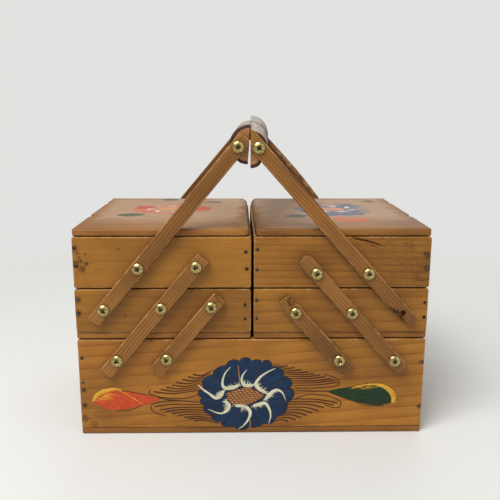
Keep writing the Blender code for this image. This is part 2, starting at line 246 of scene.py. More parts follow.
# Darkness across one growth ring, as (place, darkness)
RING_PROFILE = ((0.0, 0.0), (0.45, 0.10), (0.78, 0.45), (0.93, 1.0), (0.975, 0.75), (1.0, 0.0))


def growth_lines(shader, timber, look):
    """0 in the soft wood and 1 on the dark line that closes each growth ring."""
    rings = shader.node("TexWave", {"Vector": shader.stretched(timber, 0.10), "Scale": look.ring_scale,
                                    "Distortion": 3.0, "Detail": 2.0, "Detail Scale": 0.35,
                                    "Detail Roughness": 0.55},
                        "Fac", wave_type="RINGS", rings_direction="X", wave_profile="SAW")
    return shader.ramp(rings, [(at, (dark, dark, dark, 1.0)) for at, dark in RING_PROFILE])


def wood_colour(shader, look):
    """Colour, height and roughness of varnished pine, from the attributes that stamp() gives."""
    timber = shader.attribute("timber")
    brightness, ring_share, wear = shader.split(shader.attribute("tone"))
    fade = shader.band(shader.noise(timber, 38.0, along=0.25), 0.30, 0.62, 0.25, 1.0)
    lines = shader.times(growth_lines(shader, timber, look), shader.times(fade, ring_share))
    fibre = shader.noise(timber, 1500.0, 3.0, 0.6, along=0.030)
    blotch = shader.noise(timber, 30.0, 3.0, 0.55, along=0.40)
    amber = shader.noise(timber, 13.0, along=0.7)
    speck = shader.noise(timber, 420.0, 2.0, 0.6)
    scrape = shader.noise(timber, 160.0, 3.0, 0.65)

    colour = shader.mix(lines, look.early, look.late)
    colour = shader.mix(shader.times(shader.band(blotch, 0.35, 0.68), 0.42), colour, look.late)
    end_grain = shader.band(shader.attribute("cut", "Fac"), 0.3, 0.9, 1.0, look.end_dark)
    light = shader.times(shader.band(fibre, 0.25, 0.75, 0.88, 1.10), brightness,
                         shader.band(amber, 0.30, 0.60, 0.86, 1.10),
                         shader.band(speck, 0.28, 0.42, 0.90, 1.0), end_grain)
    colour = shader.shade(colour, light)
    rubbed = shader.times(shader.attribute("edge", "Fac"), wear, scrape)
    colour = shader.mix(shader.band(rubbed, 0.26, 0.56, 0.0, 0.85), colour, look.bare)
    # painted shade: rims that face downward are darkened
    colour = shader.mix(shader.times(shader.attribute("grime", "Fac"), 0.75), colour, UNDER_RIM_SHADE)

    height = shader.maths("SUBTRACT", shader.times(fibre, 0.5), shader.times(lines, 0.35))
    return colour, height, shader.band(fibre, 0.2, 0.8, look.polish - 0.07, look.polish + 0.10)


def spotted(shader, colour, spots):
    """Colour darkened round each spot, given as (x, z, radius, strength)."""
    place = shader.place()
    ragged = shader.band(shader.noise(place, 700.0, 3.0, 0.65), 0.3, 0.7, 0.35, 1.25)
    total = 0.0
    for x, z, radius, strength in spots:
        centre = (x * MM, FRONT_Y, z * MM)
        away = shader.node("VectorMath", {0: place, 1: centre}, "Value", operation="DISTANCE")
        dark = shader.band(away, radius * 0.35 * MM, radius * MM, strength, 0.0)
        total = shader.maths("MAXIMUM", total, dark)
    # stains and clouds of painted shade darken the colour
    return shader.mix(shader.times(total, ragged), colour, STAIN_AND_SHADE)


PINE = WoodLook(early=srgb(155, 104, 35), late=srgb(106, 58, 17), bare=srgb(188, 144, 98))
ARM_PINE = WoodLook(early=srgb(150, 102, 44), late=srgb(92, 50, 18), bare=srgb(186, 144, 102),
                    polish=0.44, ring_scale=85.0)
LID_PINE = WoodLook(early=srgb(152, 102, 42), late=srgb(104, 60, 24), bare=srgb(178, 130, 78),
                    polish=0.46, ring_scale=55.0)
FLOOR_PINE = WoodLook(early=srgb(148, 97, 40), late=srgb(100, 57, 24), bare=srgb(168, 122, 76),
                      polish=0.55, ring_scale=50.0)
HANDLE_CUT = WoodLook(early=srgb(190, 134, 84), late=srgb(134, 82, 44), bare=srgb(196, 150, 108),
                      polish=0.46, ring_scale=90.0, end_dark=1.0)
# colour of the front boards' stains and of their painted shade
STAIN_AND_SHADE = srgb(40, 24, 14)
# colour of the painted shade on rims that face downward
UNDER_RIM_SHADE = srgb(40, 20, 10)
WORN_GREY = srgb(172, 140, 112)


def make_wood(name, look, spots=()):
    shader = Shader(name, look.polish)
    colour, height, polish = wood_colour(shader, look)
    if spots:
        colour = spotted(shader, colour, spots)
    return shader.finished(colour, height, 0.15 * MM, polish)


# Where the lids' varnish is worn off, as (first trace, bare wood) in millimetres: at the inner and the
# outer edge, counted from the middle of the box, and at the front and the back edge
WORN_ACROSS = ((5.0, 11.0), (146.0, 128.0))
WORN_ALONG = ((-78.0, -22.0), (92.0, 74.0))


def worn_lid_colour(shader):
    """Lid pine whose varnish is gone from the middle of the top, down to grey scuffed wood."""
    colour, height, polish = wood_colour(shader, LID_PINE)
    place = shader.place()
    x, y, z = shader.split(place)
    rag = shader.swing(shader.noise(place, 75.0, 4.0, 0.62, along=0.30), 0.034)

    def between(value, edges):
        value = shader.maths("ADD", value, rag)
        return shader.times(*(shader.band(value, trace * MM, bare * MM) for trace, bare in edges))

    upper = shader.band(z, LID_TOP - 1.6 * MM, LID_TOP - 0.3 * MM)
    scuff = shader.noise(place, 260.0, 3.0, 0.6, along=0.20)
    worn = shader.times(between(shader.maths("ABSOLUTE", x), WORN_ACROSS),
                        between(y, WORN_ALONG), upper, shader.band(scuff, 0.28, 0.55, 0.45, 0.92))
    colour = shader.mix(worn, colour, WORN_GREY)
    return colour, height, shader.maths("ADD", polish, shader.times(worn, 0.12))


def make_lid_wood():
    shader = Shader("worn_lid_pine", LID_PINE.polish)
    colour, height, polish = worn_lid_colour(shader)
    return shader.finished(colour, height, 0.18 * MM, polish)


def make_handle_wood():
    """Split branch: golden cut faces, a dark rim of bark, and a top worn grey by hands."""
    shader = Shader("handle_branch", 0.50)
    colour, height, _ = wood_colour(shader, HANDLE_CUT)
    timber = shader.attribute("timber")
    flake = shader.noise(timber, 330.0, 3.0, 0.6)
    streak = shader.noise(timber, 420.0, 3.0, 0.6, along=0.06)
    bark = shader.mix(streak, srgb(34, 20, 13), srgb(84, 48, 28))
    grey = shader.mix(shader.band(streak, 0.3, 0.7), srgb(140, 124, 111), srgb(178, 163, 149))
    ragged = shader.maths("ADD", shader.attribute("bark", "Fac"), shader.swing(flake, 0.35))
    colour = shader.mix(shader.band(ragged, 0.18, 0.34), colour, bark)
    colour = shader.mix(shader.band(ragged, 0.66, 0.84), colour, grey)
    # painted shade: the grooves round the branch are darkened
    groove = shader.times(shader.attribute("groove", "Fac"), 0.85)
    colour = shader.mix(groove, colour, srgb(52, 36, 29))
    return shader.finished(colour, shader.maths("ADD", height, flake), 0.22 * MM)


def make_brass():
    """Brass gone olive, darkest in and round the cross recess; painted shade round the head's foot."""
    shader = Shader("aged_brass", 0.30, 1.0)
    place = shader.place()
    tarnish = shader.noise(place, 620.0, 4.0, 0.6)
    colour = shader.mix(shader.band(tarnish, 0.36, 0.62), srgb(214, 196, 134), srgb(142, 124, 76))
    x, y, height = shader.split(place)
    across = shader.length(shader.node("CombineXYZ", {0: x, 1: y}))
    ragged = shader.maths("ADD", across, shader.times(tarnish, 2.0 * MM))
    round_recess = shader.band(ragged, 2.0 * MM, 4.0 * MM, 0.62, 0.0)
    sunk = shader.band(height, SCREW_DOME - 0.35 * MM, SCREW_DOME - 1.4 * MM)
    middle = shader.band(across, 2.9 * MM, 3.2 * MM, 1.0, 0.0)
    dirt = shader.maths("MAXIMUM", round_recess, shader.times(sunk, middle))
    # painted shade: the band of the head just above the board is darkened all round
    rim = shader.band(height, 0.9 * MM, 0.2 * MM, 0.0, 0.55)
    colour = shader.mix(shader.maths("MAXIMUM", dirt, rim), colour, srgb(86, 76, 38))
    return shader.finished(colour, shader.noise(place, 1900.0), 0.04 * MM,
                           shader.band(tarnish, 0.3, 0.7, 0.24, 0.46))


def make_steel(name, clean, rust, share):
    """Dull steel with rust over a share of it."""
    shader = Shader(name, 0.5, 0.75)
    place = shader.place()
    patch = shader.noise(place, 480.0, 4.0, 0.65)
    colour = shader.mix(shader.band(patch, 0.75 - share, 0.90 - share), clean, rust)
    return shader.finished(colour, shader.noise(place, 1500.0, 3.0), 0.04 * MM,
                           shader.band(patch, 0.3, 0.7, 0.38, 0.70))


def make_paint(name, colour, streak, share, rubbed=None):
    """Enamel laid on with a brush, with streaks along its strokes. The lid shows where it is rubbed."""
    shader = Shader(name, 0.36 if rubbed is None else 0.5)
    bristle = shader.noise(shader.attribute("brush"), 1.0, 3.0, 0.62)
    paint = shader.mix(shader.times(shader.band(bristle, 0.42, 0.72), share), colour, streak)
    place = shader.place()
    pool = shader.noise(place, 240.0)
    paint = shader.shade(paint, shader.band(pool, 0.3, 0.7, 0.90, 1.08))
    if rubbed is not None:
        wood, _, _ = worn_lid_colour(shader)
        scuff = shader.noise(place, 210.0, 5.0, 0.68, along=0.35)
        left = shader.maths("ADD", scuff, shader.swing(shader.noise(place, 38.0), 0.9))
        paint = shader.mix(shader.band(left, rubbed, rubbed + 0.14, 0.12, 0.86), wood, paint)
    return shader.finished(paint, bristle, 0.06 * MM)


# --- Mesh building -----------------------------------------------------------------------------
SCREW_RADIUS = 5.0 * MM
SCREW_DOME = 2.8 * MM
CORNER_STEPS = 5                 # faces round a corner of an outline
RIM_STEPS = 4                    # faces over a rounded rim
UNEVEN_RIM = 0.35 * MM           # most that a rim's rounding varies along it
BARE_MARGIN = 1.9 * MM           # from the end of a rounded rim to wood without edge wear
SHARP_EDGE = 38                  # degrees between faces from which an edge is shaded sharp


def add_object(name, data):
    made = bpy.data.objects.new(name, data)
    bpy.context.scene.collection.objects.link(made)
    return made


def finish_mesh(shape, name, sharp=SHARP_EDGE):
    mesh = bpy.data.meshes.new(name)
    shape.to_mesh(mesh)
    shape.free()
    mesh.shade_smooth()
    mesh.set_sharp_from_angle(angle=math.radians(sharp))
    return mesh


def rounded_outline(low, high, radii, step=4 * MM):
    """Counter-clockwise rectangle with a radius for each corner, from the lower left one on."""
    (left, bottom), (right, top) = low, high
    corners = (((left, bottom), (1, 1), 180), ((right, bottom), (-1, 1), 270),
               ((right, top), (-1, -1), 0), ((left, top), (1, -1), 90))
    arcs = []
    for ((u, v), (inward_u, inward_v), start), radius in zip(corners, radii):
        centre = Vector((u + inward_u * radius, v + inward_v * radius))
        turns = [math.radians(start + 90 * k / CORNER_STEPS) for k in range(CORNER_STEPS + 1)]
        arcs.append([centre + radius * heading(a) for a in turns])
    points = []
    for arc, following in zip(arcs, arcs[1:] + arcs[:1]):
        gap = following[0] - arc[-1]
        count = max(1, round(gap.length / step))
        points += arc + [arc[-1] + gap * k / count for k in range(1, count)]
    return points


def inward_normals(outline):
    neighbours = zip(outline[-1:] + outline[:-1], outline[1:] + outline[:1])
    return [left_of((after - before).normalized()) for before, after in neighbours]


def bridge(shape, rings):
    """Quads between closed rings that follow each other."""
    for lower, upper in zip(rings, rings[1:]):
        for k in range(len(lower)):
            after = (k + 1) % len(lower)
            shape.faces.new((lower[k], lower[after], upper[after], upper[k]))


def close_tube(shape, rings):
    """Closed skin over rings: quads between them and a face at each end."""
    bridge(shape, rings)
    shape.faces.new(rings[0][::-1])
    shape.faces.new(rings[-1])


def slab(name, outline, thickness, top_round, bottom_round, seed, wobble=0.15 * MM, margin=None):
    """Closed plate over an outline in (u, v), centred on w = 0, with rounded and slightly uneven rims.

    The rounds are functions of a point of the outline. The flat middle starts a margin inside it.
    """
    normals = inward_normals(outline)
    outline = [p + n * wobble * (0.5 + 0.5 * rough(p, 55, seed)) for p, n in zip(outline, normals)]
    span = [(min(p[k] for p in outline), max(p[k] for p in outline)) for k in (0, 1)]
    shape = bmesh.new()

    def round_at(point, up):
        return top_round(point) if up > 0 else bottom_round(point)

    def rim(turn, up):
        places = []
        for point, normal in zip(outline, normals):
            radius = round_at(point, up)
            radius += min(0.45 * radius, UNEVEN_RIM) * rough(point, 120, seed + 7 * up)
            flat = point + normal * radius * (1 - math.cos(turn))
            places.append((flat.x, flat.y, up * (thickness / 2 - radius * (1 - math.sin(turn)))))
        return places

    def inner(places, up):
        result = []
        for (u, v, w), point in zip(places, outline):
            inset = margin or round_at(point, up) + BARE_MARGIN
            result.append((min(max(u, span[0][0] + inset), span[0][1] - inset),
                           min(max(v, span[1][0] + inset), span[1][1] - inset), w))
        return result

    turns = [math.pi / 2 * k / RIM_STEPS for k in range(RIM_STEPS + 1)]
    lower = [rim(turn, -1) for turn in reversed(turns)]
    upper = [rim(turn, 1) for turn in turns]
    levels = [inner(lower[0], -1)] + lower + upper + [inner(upper[-1], 1)]
    rings = [[shape.verts.new(place) for place in level] for level in levels]
    close_tube(shape, rings)
    bmesh.ops.remove_doubles(shape, verts=shape.verts[:], dist=1e-6)
    return finish_mesh(shape, name)


def turned(shape, profile, steps, place=Matrix.Identity(4)):
    """Revolve (radius, height) points round Z. The profile starts and ends on the axis."""
    rings = []
    for radius, height in profile[1:-1]:
        angles = [2 * math.pi * k / steps for k in range(steps)]
        rings.append([shape.verts.new(place @ Vector((radius * math.cos(a), radius * math.sin(a), height)))
                      for a in angles])
    bridge(shape, rings)
    for ring, (_, height), turn in ((rings[0], profile[0], -1), (rings[-1], profile[-1], 1)):
        pole = shape.verts.new(place @ Vector((0, 0, height)))
        for pair in zip(ring, ring[1:] + ring[:1]):
            shape.faces.new((*pair[::turn], pole))


def prism(points, low, high, axes=(0, 1, 2)):
    """Cutter: a closed outline between two heights. axes says which of x, y, z each number is."""
    shape = bmesh.new()

    def corner(point, height):
        place = [0.0, 0.0, 0.0]
        for axis, value in zip(axes, (*point, height)):
            place[axis] = value
        return shape.verts.new(place)

    rings = [[corner(point, height) for point in points] for height in (low, high)]
    bridge(shape, rings)
    shape.faces.new(rings[0])
    shape.faces.new(rings[1])
    bmesh.ops.recalc_face_normals(shape, faces=shape.faces[:])
    return add_object("cutter", finish_mesh(shape, "cutter"))


def box_cutter(x_range, y_range, z_range):
    (x0, x1), (y0, y1) = x_range, y_range
    return prism(((x0, y0), (x1, y0), (x1, y1), (x0, y1)), *z_range)


def carve(piece, cutters):
    """Cut with each cutter in turn, then remove the cutters."""
    for cutter in cutters:
        step = piece.modifiers.new("cut", "BOOLEAN")
        step.object = cutter
        step.solver = "EXACT"
    bpy.context.view_layer.update()
    depsgraph = bpy.context.evaluated_depsgraph_get()
    mesh = bpy.data.meshes.new_from_object(piece.evaluated_get(depsgraph))
    mesh.set_sharp_from_angle(angle=math.radians(SHARP_EDGE))
    piece.modifiers.clear()
    piece.data = mesh
    for cutter in cutters:
        bpy.data.objects.remove(cutter, do_unlink=True)


def set_attribute(mesh, name, kind, values):
    layer = mesh.attributes.new(name, kind, "POINT")
    if kind == "FLOAT":
        layer.data.foreach_set("value", values)
    else:
        layer.data.foreach_set("vector", [number for value in values for number in value])


@dataclass
class Timber:
    """The piece of a tree that a board is sawn from."""
    name: str
    light: float = 1.0           # brightness
    rings: float = 1.0           # how dark the growth lines are
    wear: float = 1.0            # how far the varnish is rubbed off the edges
    heart: tuple = None          # centre of the tree from the board's middle, across and through it
    lean: tuple = None           # slope of the tree's axis to the board, across and through it
    density: float = 1.0         # growth rings, against the usual number


def stamp(mesh, to_board, size, timber):
    """Give a mesh the attributes the wood materials read: grain, tone, edges, cuts and painted shade under
    rims.
    """
    draw = random.Random(timber.name)
    start = draw.uniform(0, 5)
    heart = timber.heart or (draw.choice((-1, 1)) * draw.uniform(0.07, 0.16), draw.uniform(0.01, 0.06))
    lean = timber.lean or (draw.uniform(-0.03, 0.03), draw.uniform(-0.03, 0.03))
    turn = to_board.to_3x3()
    grains, edges, cuts, under_rim_shades = [], [], [], []
    for vertex in mesh.vertices:
        u, v, w = to_board @ vertex.co
        grains.append((u + start, timber.density * (v - heart[0] + lean[0] * u),
                       timber.density * (w - heart[1] + lean[1] * u)))
        depths = sorted(max(0.0, side / 2 - abs(at)) for side, at in zip(size, (u, v, w)))
        edges.append(1.0 - ease(0.4 * MM, 2.2 * MM, depths[1]))
        cuts.append(ease(0.6, 0.95, abs((turn @ vertex.normal).normalized().x)))
        # rims that face downward are marked for painted shade
        under_rim_shades.append(ease(0.10, 0.80, -vertex.normal.z) * edges[-1])
    set_attribute(mesh, "timber", "FLOAT_VECTOR", grains)
    tone = (timber.light, timber.rings, timber.wear)
    set_attribute(mesh, "tone", "FLOAT_VECTOR", [tone] * len(grains))
    set_attribute(mesh, "edge", "FLOAT", edges)
    set_attribute(mesh, "cut", "FLOAT", cuts)
    set_attribute(mesh, "grime", "FLOAT", under_rim_shades)


def add_piece(name, mesh, body, material, stands_for=(), place=None):
    piece = add_object(name, mesh)
    if place:
        piece.matrix_world = place
    if not mesh.materials:
        mesh.materials.append(material)
    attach(piece, body)
    if stands_for:
        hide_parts(*stands_for)
    return piece


def add_timber(name, mesh, to_world, size, timber, cutters, body, material, node):
    """Put a wooden piece in place, cut it, and give it its grain."""
    mesh.transform(to_world)
    piece = add_piece(name, mesh, body, material, [node])
    if cutters:
        carve(piece, cutters)
    stamp(piece.data, to_world.inverted(), size, timber)


def axes_matrix(u, v, w, origin):
    """Turns (u, v, w) places into places of the frame."""
    return Matrix.Translation(origin) @ Matrix((u, v, w)).transposed().to_4x4()


X, Y, Z = Vector((1, 0, 0)), Vector((0, 1, 0)), Vector((0, 0, 1))
BOARD_AXES = {"front": (X, Z, -Y), "back": (-X, Z, Y), "left": (-Y, Z, -X), "right": (Y, Z, X),
              "flat": (X, Y, Z)}


# --- Materials of this box ---------------------------------------------------------------------
# Stains round the nails, old drips, and clouds of painted shade, as (x, z, radius, strength)
FRONT_SPOTS = (
    # left top board
    (-142.9, 162.0, 4.2, 0.75), (-142.6, 149.4, 4.2, 0.80), (-137.6, 145.2, 4.2, 0.85),
    (-134.0, 149.2, 3.0, 0.70), (-138.6, 151.4, 2.8, 0.70), (-134.7, 157.4, 2.0, 0.55),
    (-140.8, 158.2, 2.2, 0.70), (-139.4, 154.6, 2.0, 0.65), (-107.9, 161.6, 1.8, 0.60),
    (-4.4, 144.9, 3.2, 0.60),
    # right top board: stains round two nails, then clouds of painted shade, darkest over its right part
    (141.6, 156.3, 5.0, 0.90), (142.0, 145.2, 4.6, 0.85), (124.0, 150.0, 46.0, 0.30),
    (92.0, 143.0, 26.0, 0.24), (126.0, 163.0, 10.0, 0.44), (124.0, 151.0, 6.5, 0.40),
    (104.0, 157.0, 8.0, 0.34), (48.0, 151.0, 20.0, 0.20),
    # middle boards
    (-142.6, 119.1, 4.2, 0.75), (-142.8, 107.6, 4.4, 0.80), (-104.3, 105.5, 2.0, 0.55),
    (119.6, 110.4, 6.5, 0.95), (126.0, 104.5, 7.5, 0.60), (116.0, 113.0, 4.0, 0.75),
    # base board: a broad cloud of painted shade over its right part, then stains
    (124.0, 46.0, 44.0, 0.14), (-141.6, 40.0, 3.0, 0.85), (-141.4, 26.4, 3.4, 0.75),
    (-134.0, 9.0, 5.0, 0.55), (-142.0, 14.0, 5.0, 0.60), (-126.0, 18.0, 12.0, 0.28),
    (143.0, 63.8, 3.0, 0.80), (143.2, 23.7, 3.4, 0.85))
BOARD_WOOD = make_wood("varnished_pine", PINE)
FRONT_WOOD = make_wood("varnished_pine_stained", PINE, FRONT_SPOTS)
ARM_WOOD = make_wood("arm_varnished_pine", ARM_PINE)
FLOOR_WOOD = make_wood("floor_panel_pine", FLOOR_PINE)
LID_WOOD = make_lid_wood()
HANDLE_WOOD = make_handle_wood()
BRASS = make_brass()
NAIL_STEEL = make_steel("nail_steel", srgb(112, 96, 76), srgb(48, 32, 21), 0.36)
HINGE_STEEL = make_steel("hinge_steel_aged", srgb(62, 56, 50), srgb(50, 31, 20), 0.34)

NAVY_PAINT = make_paint("navy_enamel", srgb(8, 36, 64), srgb(22, 66, 104), 0.40)
CREAM_PAINT = make_paint("cream_enamel", srgb(212, 206, 172), srgb(150, 166, 166), 0.45)
HATCH_PAINT = make_paint("brown_enamel", srgb(84, 40, 16), srgb(108, 58, 26), 0.40)
LINE_PAINT = make_paint("dark_brown_enamel", srgb(66, 33, 14), srgb(90, 50, 24), 0.40)
TAN_PAINT = make_paint("tan_ground", srgb(172, 120, 66), srgb(192, 142, 90), 0.50)
RED_PAINT = make_paint("vermilion_enamel", srgb(188, 64, 30), srgb(196, 92, 34), 0.60)
YELLOW_PAINT = make_paint("yellow_enamel", srgb(204, 148, 34), srgb(222, 184, 84), 0.60)
GREEN_PAINT = make_paint("green_enamel", srgb(20, 44, 24), srgb(50, 78, 30), 0.45)


# --- Boards ------------------------------------------------------------------------------------
@dataclass(frozen=True)
class BoardCut:
    corners: float               # radius seen from outside
    rim: float = 0.8 * MM        # rounded outer edges
    top: float = 0.8 * MM        # rounded outer upper edge
    inside: float = 0.5 * MM     # rounded edges of the inner face, or of a panel's underside


def add_board(node, facing, body, material, timber, cut, cutters=()):
    """Nailed board, seen from outside as u by v, with w through it."""
    low, high = board_box(node)
    axes = BOARD_AXES[facing]
    size = [abs(axis.dot(high - low)) for axis in axes]
    half_u, half_v = size[0] / 2, size[1] / 2
    outline = rounded_outline((-half_u, -half_v), (half_u, half_v), (cut.corners,) * 4)

    def outer(point):
        return cut.top if point.y > half_v - 0.5 * MM else cut.rim

    seed = random.Random(node).uniform(0, 50)
    mesh = slab(node, outline, size[2], outer, lambda point: cut.inside, seed)
    to_world = axes_matrix(*axes, (low + high) / 2)
    add_timber(f"{node}_wood", mesh, to_world, size, timber, cutters, body, material, node)


def front_cutter(outline, depth):
    """Cutter let into the front face, over an outline in (x, z)."""
    return prism(outline, FRONT_Y - 1 * MM, FRONT_Y + depth, (0, 2, 1))


def crack(points):
    """Thin wedge out of the front face, given as an outline in (x, z) millimetres."""
    return front_cutter([(x * MM, z * MM) for x, z in points], 3 * MM)


# How each front board was sawn: light, rings, wear, heart, lean, density
FRONT_TIMBER = {
    "base": (1.24, 0.60, 0.75, (0.16, 0.03), (-0.075, 0.0), 0.55),
    "left_middle_tray": (0.90, 0.60, 0.75, (-0.15, 0.02), (0.03, 0.0), 0.65),
    "right_middle_tray": (0.96, 0.50, 0.75, (0.14, 0.03), (-0.025, 0.02), 0.50),
    "left_top_tray": (0.97, 0.14, 0.75, (0.12, 0.03), (-0.01, 0.0), 0.50),
    "right_top_tray": (0.95, 0.62, 0.75, (0.13, 0.015), (0.014, 0.0), 0.95),
}


def front_cutters(prefix):
    """Cracks in the front boards, and the empty screw hole under the broken arm."""
    if prefix == "right_top_tray":
        return [crack(((79, 171.2), (86, 170.3), (93, 168.9), (100, 166.4), (107.5, 163.0),
                       (99, 165.4), (92, 167.4), (86, 168.4))),
                crack(((91, 166.3), (97, 164.6), (103, 161.6), (97, 164.0))),
                crack(((134.5, 135.0), (139, 135.6), (146, 135.7), (146, 135.1), (139, 134.9)))]
    if prefix == "right_middle_tray":
        hole = ellipse(LINKAGES["right"]["handle"][0], 1.7 * MM, 1.7 * MM, 12)
        return [front_cutter(hole, 6 * MM),
                crack(((112, 114.8), (117, 113.6), (122.5, 110.2), (117, 111.8))),
                crack(((118, 105.5), (122, 104.4), (127, 102.0), (122, 103.7)))]
    return []


HINGE_PLATE = 0.9 * MM           # thickness of a hinge leaf
LEAF_PLAY = 0.2 * MM             # room left round a leaf
UNDER_LIDS, OVER_LIDS = 0.15, 0.20      # heights clear of both faces of the lids


def hinge_cutters(side, in_lid):
    """Seats of the two hinges in the lid, or in the tray's outer end board."""
    sign = SIDES[side]
    cutters = []
    for place in FACES:
        leaf = "lid_leaf" if in_lid else "tray_leaf"
        leaf_low, leaf_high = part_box(f"{side}_lid_hinge_{place}_{leaf}")
        pin_low, pin_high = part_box(f"{side}_lid_hinge_{place}_pin")
        pin_x = (pin_low.x + pin_high.x) / 2
        outside = pin_x + sign * 2 * MM
        leaf_end = min(abs(leaf_low.x), abs(leaf_high.x)) * sign - sign * 0.3 * MM
        if in_lid:
            knuckle = 4.5 * MM
            seat_z = (leaf_low.z - 2 * MM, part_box(f"{side}_lid")[0].z + HINGE_PLATE + LEAF_PLAY)
            notch_z = (UNDER_LIDS, OVER_LIDS)
        else:
            knuckle = 3.4 * MM
            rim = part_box(f"{side}_top_tray_outer_end")[1].z
            seat_z = (rim - HINGE_PLATE - LEAF_PLAY, OVER_LIDS)
            notch_z = (pin_low.z - 1.7 * MM, OVER_LIDS)
        notch_end = sign * (abs(pin_x) - knuckle)
        along_y = (pin_low.y - LEAF_PLAY, pin_high.y + LEAF_PLAY)
        for inside, along_z in ((leaf_end, seat_z), (notch_end, notch_z)):
            cutters.append(box_cutter(sorted((inside, outside)), along_y, along_z))
    return cutters


def add_box(prefix, ends):
    """The four boards and the floor panel of the base or of a tray. ends says where each end faces."""
    cut = BoardCut(corners=1.8 * MM, rim=0.7 * MM, top=0.9 * MM)
    add_board(f"{prefix}_front_board", "front", prefix, FRONT_WOOD,
              Timber(f"{prefix} front", *FRONT_TIMBER[prefix]), cut, front_cutters(prefix))
    add_board(f"{prefix}_back_board", "back", prefix, BOARD_WOOD,
              Timber(f"{prefix} back", light=0.95), cut)
    for end, facing in ends.items():
        outer = end != "inner_end"
        cutters = hinge_cutters(facing, False) if "top_tray" in prefix and outer else ()
        add_board(f"{prefix}_{end}", facing, prefix, BOARD_WOOD,
                  Timber(f"{prefix} {end}", light=0.95, rings=0.9),
                  BoardCut(corners=0.8 * MM, top=1.6 * MM if outer else 0.8 * MM), cutters)
    floor = f"{prefix}_floor"
    add_board(floor, "flat", prefix, FLOOR_WOOD,
              Timber(floor, light=0.90 if prefix == "base" else 1.04, rings=0.6, wear=0.25),
              BoardCut(corners=1.6 * MM, rim=0.3 * MM, top=0.3 * MM, inside=0.9 * MM))


def add_all_boxes():
    add_box("base", {"left_end": "left", "right_end": "right"})
    for side, other in (("left", "right"), ("right", "left")):
        for storey in ("middle", "top"):
            add_box(f"{side}_{storey}_tray", {"outer_end": side, "inner_end": other})


# --- Lids --------------------------------------------------------------------------------------
LID_TIMBER = {"left": Timber("left lid", 1.04, 0.7, 0.45, (0.15, 0.03), (0.02, 0.0), 0.9),
              "right": Timber("right lid", 0.92, 0.7, 0.45, (-0.15, 0.03), (-0.02, 0.0), 0.9)}
LID_NOSE = 5.0 * MM              # rounded upper edge where the two lids meet
LID_FRONT_ROUND = 2.4 * MM       # rounded upper edges at the front and the back
LID_OUTER_ROUND = 1.6 * MM       # rounded upper edge over the hinges
LID_CORNERS = {"left": (2.2, 6.0, 6.0, 2.2), "right": (6.0, 2.2, 2.2, 6.0)}      # millimetres


def lid_frame(side):
    low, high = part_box(f"{side}_lid")
    return axes_matrix(X, Y, Z, (low + high) / 2), high - low


def add_lid(side):
    sign = SIDES[side]
    node = f"{side}_lid"
    to_world, size = lid_frame(side)
    half_x, half_y = size.x / 2, size.y / 2
    outline = rounded_outline((-half_x, -half_y), (half_x, half_y), [r * MM for r in LID_CORNERS[side]])

    def upper(point):
        at_ends = half_y - abs(point.y) < 1.0 * MM
        plain = LID_FRONT_ROUND if at_ends else LID_OUTER_ROUND
        return plain + (LID_NOSE - plain) * ease(5 * MM, 0.5 * MM, half_x + sign * point.x)

    mesh = slab(node, outline, size.z, upper, lambda point: 1.1 * MM, 5.5 + sign,
                margin=LID_NOSE + BARE_MARGIN)
    add_timber(f"{node}_board", mesh, to_world, size, LID_TIMBER[side], hinge_cutters(side, True),
               node, LID_WOOD, node)


def restore_hinges():
    """The hinges keep their CAD shape, and get aged steel."""
    for name, node in frame["nodes"].items():
        if "_hinge_" in name:
            node.data.materials.clear()
            node.data.materials.append(HINGE_STEEL)


# --- Arms --------------------------------------------------------------------------------------
ARM_HALF = 6.0 * MM              # half-width
ARM_ROUND = 0.9 * MM             # rounded edges of the outer face
SPLINTER = 2.4 * MM              # most that a lost splinter adds to an arm's rounding
# Corner radii in millimetres: foot end, then head end
ARM_CORNERS = {"left": {"middle": (2.2, 1.6), "short": (2.6, 2.4), "handle": (2.6, 3.0)},
               "right": {"middle": (3.2, 4.6), "short": (3.0, 4.4), "handle": (4.6, 3.0)}}
ARM_LIGHT = {"left": {"middle": 1.0, "short": 0.96, "handle": 0.95},
             "right": {"middle": 0.93, "short": 0.86, "handle": 0.97}}


def arm_reach(node, foot, along):
    """First and last place of an arm's wood along its own line, from its foot pivot."""
    places = [(Vector((v.co.x, v.co.z)) - foot).dot(along) for v in frame["nodes"][node].data.vertices]
    return min(places), max(places)


# The torn edge of the broken arm, as (along, across) millimetres from its foot screw: above the lost
# screw's hole, and below it
TORN_ABOVE = ((10.9, 4.4), (9.6, 4.9), (8.0, 2.9), (6.6, 3.4), (5.2, 1.4), (3.7, 2.2))
TORN_BELOW = ((-3.2, 2.9), (-4.6, 2.2), (-5.8, 3.9), (-7.6, 3.6), (-9.6, 4.3), (-11.2, 3.2), (-12.2, 1.2))
TORN_UP_TO = 12.4                # where the tear starts, along the arm
LOST_HOLE = 2.3                  # radius of the hole that the arm split away round


def broken_foot(start, end):
    """Outline of the arm that split away round its lost foot screw, at one side of the hole."""
    bay = [(LOST_HOLE * math.cos(turn), LOST_HOLE * math.sin(turn))
           for turn in map(math.radians, range(40, -211, -25))]
    torn = [Vector((u * MM, v * MM))
            for u, v in ((TORN_UP_TO, ARM_HALF / MM), *TORN_ABOVE, *bay, *TORN_BELOW)]
    whole = rounded_outline((start, -ARM_HALF), (end, ARM_HALF), (4.2 * MM, 3.0 * MM, 3.0 * MM, 3.0 * MM))
    torn_from = next(k for k, point in enumerate(whole)
                     if point.y > 0.99 * ARM_HALF and point.x < (TORN_UP_TO + 1.1) * MM)
    return whole[:torn_from] + torn


BACK_ARM_LIGHT = {"left": 0.66, "right": 0.50}
# How far the back handle arms have warped, halfway and at the handle
BACK_ARM_WARP = {"left": (0.0, 1.6 * MM), "right": (3.4 * MM, 4.6 * MM)}
